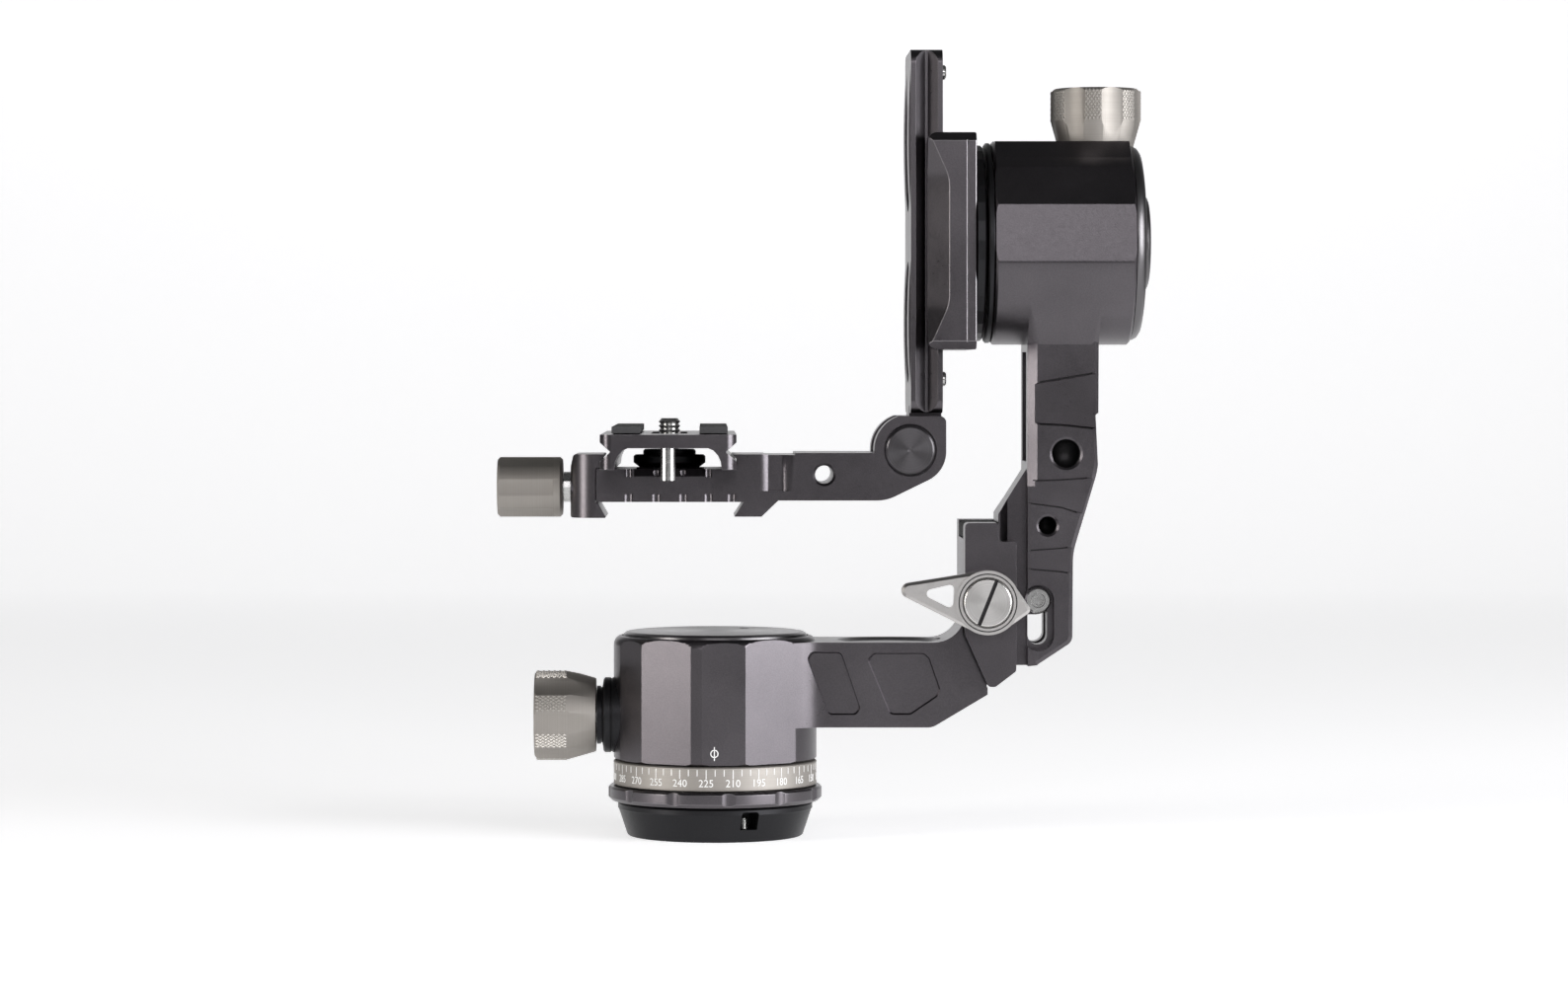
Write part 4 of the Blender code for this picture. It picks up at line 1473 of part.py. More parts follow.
def build():
    """Makes the joints' empties and every piece on them."""
    base = joint_empty("base", (0, 0, 0))
    base_pieces(base)

    pan = joint_empty("pan_axis", (0, 0, 0), base)
    pan_housing(pan)
    pan_trim(pan)
    pan_shoe = joint_empty("pan_shoe_slide", (-SHOE_TIP_REACH, 0, PAN_KNOB_HEIGHT), pan)
    brake_shoe("pan_brake_shoe", (-SHOE_TIP_REACH - SHOE_LENGTH, 0, PAN_KNOB_HEIGHT), "X", pan_shoe)
    pan_knob = joint_empty("pan_knob_axis", (PAN_KNOB_FACE_X, 0, PAN_KNOB_HEIGHT), pan_shoe)
    pan_land, tilt_land = radians(13), radians(5.1)
    lock_knob("pan", (PAN_KNOB_FACE_X, 0, PAN_KNOB_HEIGHT), (0, -pi / 2, 0), pan_land,
              -PAN_KNOB_FACE_X - SHOE_TIP_REACH - SHOE_LENGTH - GAP, pan_knob)

    jaw = joint_empty("arm_clamp_slide", (LEVER_X, -TONGUE_HALF_WIDTH, LEVER_HEIGHT), pan)
    arm_clamp_jaw(jaw)
    lever = joint_empty("lever_axis", (LEVER_X, -BLOCK_HALF_DEPTH, LEVER_HEIGHT), jaw)
    arm_clamp_lever(lever)

    lift = joint_empty("arm_lift", (PIVOT_X, 0, PIVOT_HEIGHT), pan)
    upper_arm(lift)
    drum_trim(lift)
    tilt_shoe_low = TILT_HEIGHT + TILT_SHAFT_RADIUS + GAP
    tilt_shoe = joint_empty("tilt_shoe_slide", (TILT_KNOB_X, 0, tilt_shoe_low), lift)
    brake_shoe("tilt_brake_shoe", (TILT_KNOB_X, 0, tilt_shoe_low), "Z", tilt_shoe)
    tilt_knob = joint_empty("tilt_knob_axis", (TILT_KNOB_X, 0, TILT_KNOB_FOOT_HEIGHT), tilt_shoe)
    lock_knob("tilt", (TILT_KNOB_X, 0, TILT_KNOB_FOOT_HEIGHT), (0, 0, 0), tilt_land,
              TILT_KNOB_FOOT_HEIGHT - tilt_shoe_low - SHOE_LENGTH - GAP, tilt_knob)

    tilt = joint_empty("tilt_axis", (DRUM_LEFT_X, 0, TILT_HEIGHT), lift)
    tilt_pieces(tilt)
    rail_slide_jaw = joint_empty("rail_jaw_slide", (RAIL_CLAMP_RIGHT_X, RAIL_CLAMP_SPLIT_Y, TILT_HEIGHT),
                                 tilt)
    rail_knob = joint_empty("rail_knob_axis", ((RAIL_SEAT_X + RAIL_CLAMP_RIGHT_X) / 2,
                                               RAIL_CLAMP_HALF_DEPTH, TILT_HEIGHT), rail_slide_jaw)
    rail_jaw(rail_slide_jaw, rail_knob)

    rail_slide = joint_empty("rail_slide", (RAIL_RIGHT_X, 0, TILT_HEIGHT), tilt)
    rail(rail_slide)
    fold = joint_empty("platform_hinge", (HINGE_X, 0, HINGE_HEIGHT), rail_slide)
    platform(fold)
    platform_slide = joint_empty("platform_jaw_slide", (CLAMP_BED_LEFT_X, 0, PLATFORM_SCREW_HEIGHT), fold)
    platform_knob = joint_empty("platform_knob_axis", (PLATFORM_KNOB_FACE_X, 0, PLATFORM_SCREW_HEIGHT),
                                platform_slide)
    platform_jaw(platform_slide, platform_knob)
    plate_slide = joint_empty("plate_slide", (PLATE_X, 0, PLATE_BOTTOM), fold)
    camera_axis = joint_empty("camera_screw_axis", (PLATE_X, 0, PLATE_TOP), plate_slide)
    quick_release_plate(plate_slide, camera_axis)


build()
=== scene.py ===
from math import atan2, cos, degrees, pi, radians, sin, sqrt, tan

import bmesh
import bpy
from mathutils import Matrix, Vector


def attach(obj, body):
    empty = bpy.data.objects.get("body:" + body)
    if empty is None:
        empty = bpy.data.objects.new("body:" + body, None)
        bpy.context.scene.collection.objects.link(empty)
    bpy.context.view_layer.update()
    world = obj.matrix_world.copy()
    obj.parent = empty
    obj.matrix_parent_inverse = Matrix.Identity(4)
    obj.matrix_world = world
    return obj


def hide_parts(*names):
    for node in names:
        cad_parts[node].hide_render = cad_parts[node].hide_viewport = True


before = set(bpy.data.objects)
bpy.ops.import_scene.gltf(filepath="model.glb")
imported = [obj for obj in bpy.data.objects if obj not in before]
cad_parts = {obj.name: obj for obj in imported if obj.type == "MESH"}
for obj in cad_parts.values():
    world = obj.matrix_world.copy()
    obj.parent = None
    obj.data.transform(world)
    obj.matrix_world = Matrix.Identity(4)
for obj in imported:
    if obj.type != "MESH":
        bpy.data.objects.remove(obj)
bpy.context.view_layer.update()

# All shapes below are drawn in millimetres. +Z is up, the camera looks along +Y, and the pan axis is the Z axis.
MM = 0.001

FINE = 128              # steps round a large turned piece
ROUND = 64
SMALL = 32
REACH = 3.0             # how far a cutter runs past what it cuts

DRUM_RADIUS = 29.3      # pan housing
DRUM_BOTTOM, DRUM_TOP = 22.2, 57.7
ARM_HALF = 15.0         # both arms are 30 thick
ARM_TOP, ARM_BOTTOM = 56.3, 32.0
BLOCK_LEFT, BLOCK_RIGHT, BLOCK_TOP = 71.1, 85.7, 90.7
BLOCK_HALF = 21.0
LEVER_X, LEVER_Z = 77.35, 68.15
PIVOT_X, PIVOT_Z = 92.4, 68.3
LIFT = 10.0
TILT_Z, TILT_RADIUS = 171.0, 29.4
RAIL_LEFT, RAIL_RIGHT, RAIL_HALF = 55.8, 64.9, 19.0
RAIL_TOP, RAIL_BOTTOM = 225.9, 122.0
CLAMP_LEFT, CLAMP_RIGHT, CLAMP_HALF, CLAMP_REACH = 60.4, 74.2, 30.9, 26.0
HINGE_X, HINGE_Z = 55.67, 111.36
BAR_TOP, BAR_HALF = 110.6, 18.0
PLATE_X, PLATE_TOP, PLATE_LOW, PLATE_HALF, PLATE_REACH = -13.2, 116.2, 106.4, 19.1, 50.0
PAN_KNOB_Z, TILT_KNOB_X = 34.6, 110.0
LEVER_AXIS, PIVOT_AXIS = (LEVER_X, 0, LEVER_Z), (PIVOT_X, 0, PIVOT_Z)
HINGE_AXIS, TILT_AXIS = (HINGE_X, 0, HINGE_Z), (0, 0, TILT_Z)

PAN_FACETS = (-67.8, -45.8, -13.8, -7.5, 17.0, 51.0)    # where the facets meet, in degrees
TILT_FACETS = (-135.9, -110.4, -78.7)
ARM_GUIDES = (53.0, 82.6)       # heights of the arm clamp's guide pins
RAIL_GUIDE, BAR_GUIDE = 20.1, 11    # guide pins of the rail and platform clamps, from the middle
ARM_HOLES = ((100.4, 110.4, 4.1), (95.1, 89.8, 2.6))    # accessory holes: x, z, radius
BAR_HOLE = (31.1, 0, 104.4)
STOP_SCREWS = (131.7, 219.7)    # heights on the rail
LOCK_FLUTES, PLAIN_FLUTES = 7, 6
KNOB_COLOUR = (0.36, 0.34, 0.315)


# Shapes

def spot(normal, across, up, along):
    """A point from its place on a drawn plane and its distance along the plane's normal."""
    return Vector({"X": (along, across, up), "Y": (across, along, up), "Z": (across, up, along)}[normal])


def arc(centre, radius, start, end, steps):
    """Points along an arc, angles in degrees."""
    turns = [radians(start + (end - start) * step / steps) for step in range(steps + 1)]
    return [(centre[0] + radius * cos(turn), centre[1] + radius * sin(turn)) for turn in turns]


def rounded(corners, steps=6):
    """An outline whose (x, y, radius) corners are rounded."""
    outline = []
    for index, (x, y, radius) in enumerate(corners):
        here = Vector((x, y))
        if radius == 0:
            outline.append((x, y))
            continue
        before = (Vector(corners[index - 1][:2]) - here).normalized()
        after = (Vector(corners[(index + 1) % len(corners)][:2]) - here).normalized()
        half = before.angle(after) / 2
        middle = here + (before + after).normalized() * radius / sin(half)
        first = here + before * radius / tan(half) - middle
        last = here + after * radius / tan(half) - middle
        sweep = atan2(first.x * last.y - first.y * last.x, first.dot(last))
        for step in range(steps + 1):
            point = middle + Matrix.Rotation(sweep * step / steps, 2) @ first
            outline.append((point.x, point.y))
    return outline


def closed(built):
    """A shape with all its faces turned outwards."""
    bmesh.ops.recalc_face_normals(built, faces=built.faces)
    return built


def slab(outline, low, high, normal="Y", taper=1.0):
    """A flat outline given thickness: (x, z) for Y, (x, y) for Z, (y, z) for X. A taper draws its far end in."""
    built = bmesh.new()
    face = built.faces.new([built.verts.new(spot(normal, *point, low)) for point in outline])
    raised = bmesh.ops.extrude_face_region(built, geom=[face])["geom"]
    ends = [part for part in raised if isinstance(part, bmesh.types.BMVert)]
    bmesh.ops.translate(built, verts=ends, vec=spot(normal, 0, 0, high - low))
    if taper != 1.0:
        middle = sum((end.co for end in ends), Vector()) / len(ends)
        bmesh.ops.scale(built, verts=ends, vec=(taper, taper, taper), space=Matrix.Translation(-middle))
    return closed(built)


def box(low, high):
    """A block between two corners."""
    return slab([(low[0], low[1]), (high[0], low[1]), (high[0], high[1]), (low[0], high[1])], low[2], high[2], "Z")


def turned(profile, centre=(0, 0, 0), axis="Z", steps=ROUND):
    """A turned shape from its (radius, height) profile. A profile that leaves the axis is closed."""
    built = bmesh.new()
    centre = Vector(centre)
    points = [built.verts.new(centre + spot(axis, radius, 0, height)) for radius, height in profile]
    edges = [built.edges.new(pair) for pair in zip(points, points[1:])]
    if profile[0][0] > 0 or profile[-1][0] > 0:
        edges.append(built.edges.new((points[-1], points[0])))
    bmesh.ops.spin(built, geom=points + edges, cent=centre, axis=spot(axis, 0, 0, 1), angle=2 * pi, steps=steps,
            use_merge=True)
    bmesh.ops.remove_doubles(built, verts=built.verts, dist=0.0005)
    return closed(built)


def rod(radius, start, length, axis="Z", steps=SMALL):
    """A plain cylinder along an axis, from a point."""
    return turned([(0, length), (radius, length), (radius, 0), (0, 0)], start, axis, steps)


def obround(centre_a, centre_b, radius, steps=16):
    """A slot's outline, with round ends about two centres on a vertical line."""
    low, high = sorted((centre_a, centre_b), key=lambda centre: centre[1])
    return arc(high, radius, 0, 180, steps) + arc(low, radius, 180, 360, steps)


def shifted(built, turn=None, about=(0, 0, 0), move=(0, 0, 0)):
    """A shape turned about a point and then moved."""
    about = Vector(about)
    if turn:
        bmesh.ops.rotate(built, verts=built.verts, cent=about, matrix=Matrix.Rotation(turn[0], 3, turn[1]))
    bmesh.ops.translate(built, verts=built.verts, vec=Vector(move))
    return built


def mirrored(built):
    """A shape flipped from the front to the rear."""
    bmesh.ops.scale(built, verts=built.verts, vec=(1, -1, 1))
    return closed(built)


def sided(built, side):
    """A shape drawn for the front, flipped when the side is the rear."""
    return mirrored(built) if side > 0 else built


def painted(built, index):
    """A cutter that leaves its walls in one of the piece's finishes. Here it always gives them the dark finish of
    painted shade.
    """
    for wall in built.faces:
        wall.material_index = index
    return built


def cuts(*shapes):
    """Steps that cut each shape away."""
    return [("cut", shape) for shape in shapes]


def joins(*shapes):
    """Steps that add each shape."""
    return [("join", shape) for shape in shapes]


def stood(built, axis, origin):
    """A shape drawn upright about the Z axis, laid along its own axis at its place."""
    turn = {"X": (-pi / 2, "Y"), "Y": (-pi / 2, "X"), "Z": None}[axis]
    return shifted(built, turn, move=origin)


def threaded(crest, root, start, pitch, steps):
    """The (radius, height) zigzag of a thread, its odd steps on the crest."""
    return [(crest if step % 2 else root, start + pitch * step) for step in steps]


def gathered(shapes):
    """Several shapes as one loose shape."""
    whole = bmesh.new()
    for built in shapes:
        loose = bpy.data.meshes.new("loose")
        built.to_mesh(loose)
        built.free()
        whole.from_mesh(loose)
        bpy.data.meshes.remove(loose)
    return whole


def blank(name, built):
    """An object from a shape, still in millimetres."""
    mesh = bpy.data.meshes.new(name)
    built.to_mesh(mesh)
    built.free()
    made = bpy.data.objects.new(name, mesh)
    bpy.context.scene.collection.objects.link(made)
    return made


def machined(name, base, work=(), edge=0.0, segments=2, angle=32, materials=(), late=()):
    """A finished piece: the base, its cuts, joins and keeps, broken edges, then late cuts left crisp."""
    made = blank(name, base)
    for material in materials:
        made.data.materials.append(material)
    tools = []

    def worked(steps):
        for kind, shape in steps:
            tool = blank(name + "_tool", shape)
            tools.append(tool)
            change = made.modifiers.new(kind, "BOOLEAN")
            change.operation = {"cut": "DIFFERENCE", "join": "UNION", "keep": "INTERSECT"}[kind]
            change.solver = "EXACT"
            change.object = tool

    worked(work)
    if work:
        flat = made.modifiers.new("flat faces", "DECIMATE")
        flat.decimate_type = "DISSOLVE"
        flat.angle_limit = radians(0.4)
    if edge:
        bevel = made.modifiers.new("broken edges", "BEVEL")
        bevel.width = edge
        bevel.segments = segments
        bevel.limit_method = "ANGLE"
        bevel.angle_limit = radians(angle)
        bevel.miter_outer = "MITER_ARC"
        bevel.material = 1 if len(materials) > 1 else -1
    worked(late)
    graph = bpy.context.evaluated_depsgraph_get()
    mesh = bpy.data.meshes.new_from_object(made.evaluated_get(graph))
    made.modifiers.clear()
    for tool in tools:
        bpy.data.objects.remove(tool, do_unlink=True)
    mesh.transform(Matrix.Scale(MM, 4))
    built = bmesh.new()
    built.from_mesh(mesh)
    bmesh.ops.remove_doubles(built, verts=built.verts, dist=0.000002)
    bmesh.ops.dissolve_degenerate(built, edges=built.edges, dist=0.000001)
    built.to_mesh(mesh)
    built.free()
    mesh.name = name
    made.data = mesh
    mesh.shade_smooth()
    mesh.set_sharp_from_angle(angle=radians(34))
    even = made.modifiers.new("even shading", "WEIGHTED_NORMAL")
    even.keep_sharp = True
    even.weight = 80
    return made


def fit(piece, body, slot, *nodes):
    """Puts a finished piece on its body, in place of the nodes it stands for."""
    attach(piece, body)
    if nodes:
        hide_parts(*nodes)
    return piece


def finished(name, base, work, edge, materials, body, slot, *nodes, **more):
    """A piece machined and put on its body."""
    fit(machined(name, base, work, edge, materials=materials, **more), body, slot, *nodes)


def grey_piece(name, base, work, edge, body, *nodes, **more):
    """The same in the grey of the castings."""
    finished(name, base, work, edge, GREY, body, "anodised_dark_grey", *nodes, **more)


# Finishes

def nodes_of(name):
    material = bpy.data.materials.new(name)
    material.use_nodes = True
    tree = material.node_tree
    shader = tree.nodes["Principled BSDF"]
    return material, tree, shader


def noise(tree, source, scale, detail=2.0, dimensions="3D", roughness=0.5):
    node = tree.nodes.new("ShaderNodeTexNoise")
    node.noise_dimensions = dimensions
    node.inputs["Scale"].default_value = scale
    node.inputs["Detail"].default_value = detail
    node.inputs["Roughness"].default_value = roughness
    tree.links.new(source, node.inputs["W" if dimensions == "1D" else "Vector"])
    return node.outputs["Fac"]


def ranged(tree, source, low, high, from_low=0.3, from_high=0.7):
    node = tree.nodes.new("ShaderNodeMapRange")
    node.inputs["From Min"].default_value = from_low
    node.inputs["From Max"].default_value = from_high
    node.inputs["To Min"].default_value = low
    node.inputs["To Max"].default_value = high
    tree.links.new(source, node.inputs["Value"])
    return node.outputs["Result"]


def blended(tree, factor, first, second):
    node = tree.nodes.new("ShaderNodeMix")
    node.data_type = "RGBA"
    node.inputs["A"].default_value = (*first, 1)
    node.inputs["B"].default_value = (*second, 1)
    tree.links.new(factor, node.inputs["Factor"])
    return node.outputs["Result"]


def coloured(tree, shader, factor, colour, spread):
    """The base colour, between a darker and a lighter shade of one colour."""
    shades = [[value * (1 + change) for value in colour] for change in (-spread, spread)]
    tree.links.new(blended(tree, factor, *shades), shader.inputs["Base Color"])


def bumped(tree, shader, height, strength, distance):
    node = tree.nodes.new("ShaderNodeBump")
    node.inputs["Strength"].default_value = strength
    node.inputs["Distance"].default_value = distance
    tree.links.new(height, node.inputs["Height"])
    tree.links.new(node.outputs["Normal"], shader.inputs["Normal"])


def summed(tree, first, second, share=0.5):
    node = tree.nodes.new("ShaderNodeMix")
    node.inputs["Factor"].default_value = share
    tree.links.new(first, node.inputs["A"])
    tree.links.new(second, node.inputs["B"])
    return node.outputs["Result"]


def calculated(tree, kind, operation, *sources):
    """A Math or VectorMath node with its first inputs linked."""
    node = tree.nodes.new(kind)
    node.operation = operation
    for source, socket in zip(sources, node.inputs):
        tree.links.new(source, socket)
    return node


def object_place(tree, centre=(0, 0, 0)):
    """Object coordinates with their origin moved to a centre given in millimetres."""
    coordinates = tree.nodes.new("ShaderNodeTexCoord").outputs["Object"]
    mapping = tree.nodes.new("ShaderNodeMapping")
    mapping.inputs["Location"].default_value = [-value * MM for value in centre]
    tree.links.new(coordinates, mapping.inputs["Vector"])
    return mapping.outputs["Vector"]


def blasted(name, colour, spread=0.12, rough=(0.36, 0.46), grain=0.35, metallic=1.0):
    """Bead-blasted and anodised metal: an even, fine grain with faint clouding."""
    material, tree, shader = nodes_of(name)
    place = object_place(tree)
    cloud = noise(tree, place, 38, 3)
    grit = noise(tree, place, 2900, 1)
    coarse = noise(tree, place, 900, 2)
    coloured(tree, shader, ranged(tree, summed(tree, cloud, grit, 0.4), 0, 1), colour, spread)
    tree.links.new(ranged(tree, summed(tree, coarse, cloud, 0.5), *rough), shader.inputs["Roughness"])
    bumped(tree, shader, grit, grain, 0.00004)
    shader.inputs["Metallic"].default_value = metallic
    return material


def lathed(name, colour, centre, axis, spread=0.10, rough=(0.24, 0.36), lines=5200, depth=0.5, along=False,
           sheen_lines=0.4):
    """Turned metal. Tool lines run round the axis, by radius on a face or by height on a wall."""
    material, tree, shader = nodes_of(name)
    place = object_place(tree, centre)
    parts = tree.nodes.new("ShaderNodeSeparateXYZ")
    tree.links.new(place, parts.inputs["Vector"])
    flat = tree.nodes.new("ShaderNodeCombineXYZ")
    for letter in "XYZ":
        if letter != axis:
            tree.links.new(parts.outputs[letter], flat.inputs[letter])
    radius = calculated(tree, "ShaderNodeVectorMath", "LENGTH", flat.outputs["Vector"])
    line_source = parts.outputs[axis] if along else radius.outputs["Value"]
    fine = noise(tree, line_source, lines, 2, "1D", 0.7)
    broad = noise(tree, line_source, lines * 0.12, 2, "1D")
    cloud = noise(tree, place, 60, 2)
    coloured(tree, shader, ranged(tree, summed(tree, fine, cloud), 0, 1), colour, spread)
    tree.links.new(ranged(tree, summed(tree, broad, cloud), *rough), shader.inputs["Roughness"])
    bumped(tree, shader, summed(tree, fine, broad, 0.3), depth, 0.00002)
    shader.inputs["Metallic"].default_value = 1.0
    around = calculated(tree, "ShaderNodeVectorMath", "CROSS_PRODUCT", place)
    around.inputs[1].default_value = spot(axis, 0, 0, 1)
    turned_with_piece = tree.nodes.new("ShaderNodeVectorTransform")
    turned_with_piece.convert_from, turned_with_piece.convert_to = "OBJECT", "WORLD"
    tree.links.new(around.outputs["Vector"], turned_with_piece.inputs["Vector"])
    tree.links.new(turned_with_piece.outputs["Vector"], shader.inputs["Tangent"])
    shader.inputs["Anisotropic"].default_value = sheen_lines
    shader.inputs["Anisotropic Rotation"].default_value = 0.25
    return material


def moulded(name, colour, rough=(0.72, 0.9), depth=0.5, spread=0.18, gloss=0.5):
    """Rubber or polymer with a fine moulded skin."""
    material, tree, shader = nodes_of(name)
    place = object_place(tree)
    skin = noise(tree, place, 2200, 3)
    cloud = noise(tree, place, 90, 2)
    coloured(tree, shader, ranged(tree, cloud, 0, 1), colour, spread)
    tree.links.new(ranged(tree, skin, *rough), shader.inputs["Roughness"])
    bumped(tree, shader, skin, depth, 0.00006)
    shader.inputs["Specular IOR Level"].default_value = gloss
    return material


ANODISED = blasted("anodised_grey", (0.112, 0.104, 0.112), spread=0.16, rough=(0.27, 0.35))
ANODISED_EDGE = blasted("anodised_grey_edge", (0.21, 0.20, 0.21), rough=(0.26, 0.34), grain=0.15)
BLACK = blasted("anodised_black", (0.026, 0.026, 0.028), rough=(0.34, 0.44), metallic=0.9)
BLACK_EDGE = blasted("anodised_black_edge", (0.055, 0.055, 0.058), rough=(0.26, 0.34), grain=0.15, metallic=0.9)
TITANIUM = blasted("anodised_titanium", KNOB_COLOUR, rough=(0.26, 0.34), grain=0.12, spread=0.06)
TITANIUM_EDGE = blasted("anodised_titanium_edge", (0.62, 0.60, 0.57), rough=(0.20, 0.28), grain=0.08)
KNURLED = blasted("knurled_titanium", (0.50, 0.48, 0.45), rough=(0.46, 0.54), grain=0.08)
SATIN = blasted("satin_aluminium", (0.62, 0.605, 0.59), rough=(0.30, 0.38), grain=0.25, spread=0.06)
SATIN_EDGE = blasted("satin_aluminium_edge", (0.80, 0.79, 0.77), rough=(0.18, 0.26), grain=0.08)
STEEL = blasted("steel", (0.56, 0.56, 0.55), rough=(0.20, 0.30), grain=0.10, spread=0.08)
BRASS = blasted("brass", (0.62, 0.44, 0.17), rough=(0.26, 0.36), grain=0.12)
# Painted shade: a dark finish for the insides of tapped holes, the arm's grooves, the lever's ring groove and the
# bolt's slot
PAINTED_SHADE_FINISH = blasted("painted_shade_dark", (0.060, 0.058, 0.060), rough=(0.40, 0.5))
RUBBER = moulded("grip_rubber", (0.060, 0.060, 0.063))
BLACK_POLYMER = moulded("black_polymer", (0.006, 0.006, 0.0063), rough=(0.6, 0.7), depth=0.2, gloss=0.12)
POLYMER = moulded("white_polymer", (0.72, 0.71, 0.67), rough=(0.4, 0.55), depth=0.2, spread=0.04)
MARKS = moulded("mark_paint", (0.86, 0.86, 0.85), rough=(0.45, 0.6), depth=0.15, spread=0.03)
GREY = (ANODISED, ANODISED_EDGE)
DARK = (BLACK, BLACK_EDGE)
BRIGHT = (SATIN, SATIN_EDGE)


# Base

def base_pieces():
    """The foot plate, the lock ring and the degree ring, which stay still on the tripod."""
    notch_turn = radians(21)
    notch = slab(rounded([(-2.6, 3.6, 0.3), (2.6, 3.6, 0.3), (2.6, 8.8, 0.9), (-2.6, 8.8, 0.9)], 4), -30.1, -20.2)
    work = cuts(shifted(notch, (notch_turn, "Z")))
    for index in range(3):
        angle = 2 * pi * (index + 0.5) / 3
        work += cuts(turned([(0, 12), (1.8, 12), (1.8, 2.3), (3.2, 2.3), (3.5, 0), (3.5, -1), (0, -1)],
                (16 * cos(angle), 16 * sin(angle), 0), "Z", 24))
    foot = turned([(7.8, 9.9), (27.5, 9.9), (28.1, 9.3), (28.1, 8.0), (27.8, 7.6), (25.4, 0.4), (24.9, 0),
            (23.5, 0), (23.2, 0.4), (11.2, 0.4), (10.9, 0), (8.3, 0), (7.8, 0.5)], steps=FINE)
    finished("base_plate_turned", foot, work, 0.15, DARK, "base", "anodised_dark_grey", "base_plate")

    thread = threaded(1.4, 1.15, 2.0, 0.25, range(20))
    place = (22.3 * sin(notch_turn), -22.3 * cos(notch_turn), 0)
    screw = turned([(0, 2.0)] + thread + [(0.9, 6.9), (0, 6.9)], place, "Z", 24)
    slot = shifted(box((-0.25, -2, 6.2), (0.25, 2, 8)), (radians(35), "Z"), move=place)
    finished("base_set_screw_threaded", screw, cuts(slot), 0, (STEEL,), "base", "steel", "base_set_screw")

    bore = threaded(4.4, 4.75, 9.2, -0.4, range(23))
    bushing = turned([(5.2, 9.6), (7.2, 9.6), (7.5, 9.3), (7.5, 0.6), (7.2, 0.3), (5.0, 0.3)] + bore[::-1],
            steps=ROUND)
    finished("tripod_bushing_threaded", bushing, (), 0, (STEEL,), "base", "steel", "tripod_bushing")

    ring = turned([(23.3, 14.5), (30.2, 14.5), (30.8, 13.9), (30.8, 11.2), (29.8, 10.2), (23.3, 10.2)], steps=FINE)
    notches = []
    for index in range(12):
        angle = radians(-83 + 30 * index)
        notches.append(rod(4.2, (34.5 * cos(angle), 34.5 * sin(angle), 8), 8, "Z", 48))
    grey_piece("lock_ring_notched", ring, cuts(gathered(notches)), 0.15, "base", "lock_ring")
    degree_ring()


def degree_ring():
    """The scale: a satin ring with raised white ticks and plain numbers."""
    radius, top, number_height = 29.35, 21.7, 16.2
    band = turned([(23.3, top), (29.0, top), (radius, 21.4), (radius, 21.15), (29.27, 21.1), (29.27, 15.4),
            (radius, 15.35), (radius, 15.1), (29.05, 14.8), (23.3, 14.8)], steps=192)
    scale_finish = lathed("scale_ring_satin", (0.37, 0.35, 0.325), (0, 0, 0), "Z", along=True, rough=(0.54, 0.62),
            sheen_lines=0.0)
    finished("degree_ring_band", band, (), 0, (scale_finish, SATIN_EDGE), "base", "satin_aluminium", "degree_ring")

    first_turn = -5.1               # where 225 stands, from straight ahead towards the right
    ticks = []
    for number in range(0, 360, 5):
        turn = radians(first_turn + 225 - number)
        length = 2.6 if number % 15 == 0 else 1.8
        tick = box((-0.12, -29.36, 21.05 - length), (0.12, -29.2, 21.05))
        ticks.append(shifted(tick, (turn, "Z")))
    finished("degree_ticks", gathered(ticks), (), 0, (MARKS,), "base", "satin_aluminium")

    for number in range(0, 360, 15):
        turn = radians(first_turn + 225 - number)
        letters = bpy.data.curves.new("number", "FONT")
        letters.body = str(number)
        letters.align_x = "CENTER"
        letters.size = 3.0
        letters.extrude = 0.05
        letters.resolution_u = 3
        drawn = bpy.data.objects.new("number", letters)
        bpy.context.scene.collection.objects.link(drawn)
        mesh = bpy.data.meshes.new_from_object(drawn.evaluated_get(bpy.context.evaluated_depsgraph_get()))
        bpy.data.objects.remove(drawn, do_unlink=True)
        built = bmesh.new()
        built.from_mesh(mesh)
        bmesh.ops.remove_doubles(built, verts=built.verts, dist=0.001)
        for point in built.verts:
            around = turn + 0.98 * point.co.x / radius
            out = 29.31 + point.co.z
            point.co = (out * sin(around), -out * cos(around), number_height + point.co.y)
        finished(f"degree_number_{number}", built, (), 0, (MARKS,), "base", "satin_aluminium")


# Pan housing and lower arm

def facet_cutters(centre, radius, turns, low, high, normal):
    """Flat cutters for a drum's facets. Their turns are degrees from straight down the drawing."""
    cutters = []
    for first, last in zip(turns, turns[1:]):
        middle, half = radians((first + last) / 2), radians((last - first) / 2)
        depth = radius * cos(half)
        width = radius
        corners = [(-width, -radius - 4), (width, -radius - 4), (width, -depth), (-width, -depth)]
        spun = [(x * cos(middle) - y * sin(middle), x * sin(middle) + y * cos(middle)) for x, y in corners]
        cutters.append(("cut", slab([(centre[0] + x, centre[1] + y) for x, y in spun], low, high, normal)))
    return cutters


def tongue_room(rear):
    """The room in a jaw for the upper arm's dovetail tongue."""
    side = 1 if rear > 0 else -1
    return slab([(80.9, -side * 11.3), (80.9, side * 11.3), (82.1, side * 11.3), (84.3, side * 9.1),
            (90, side * 9.1), (90, -side * 11.3)], 30, 100, "Z")


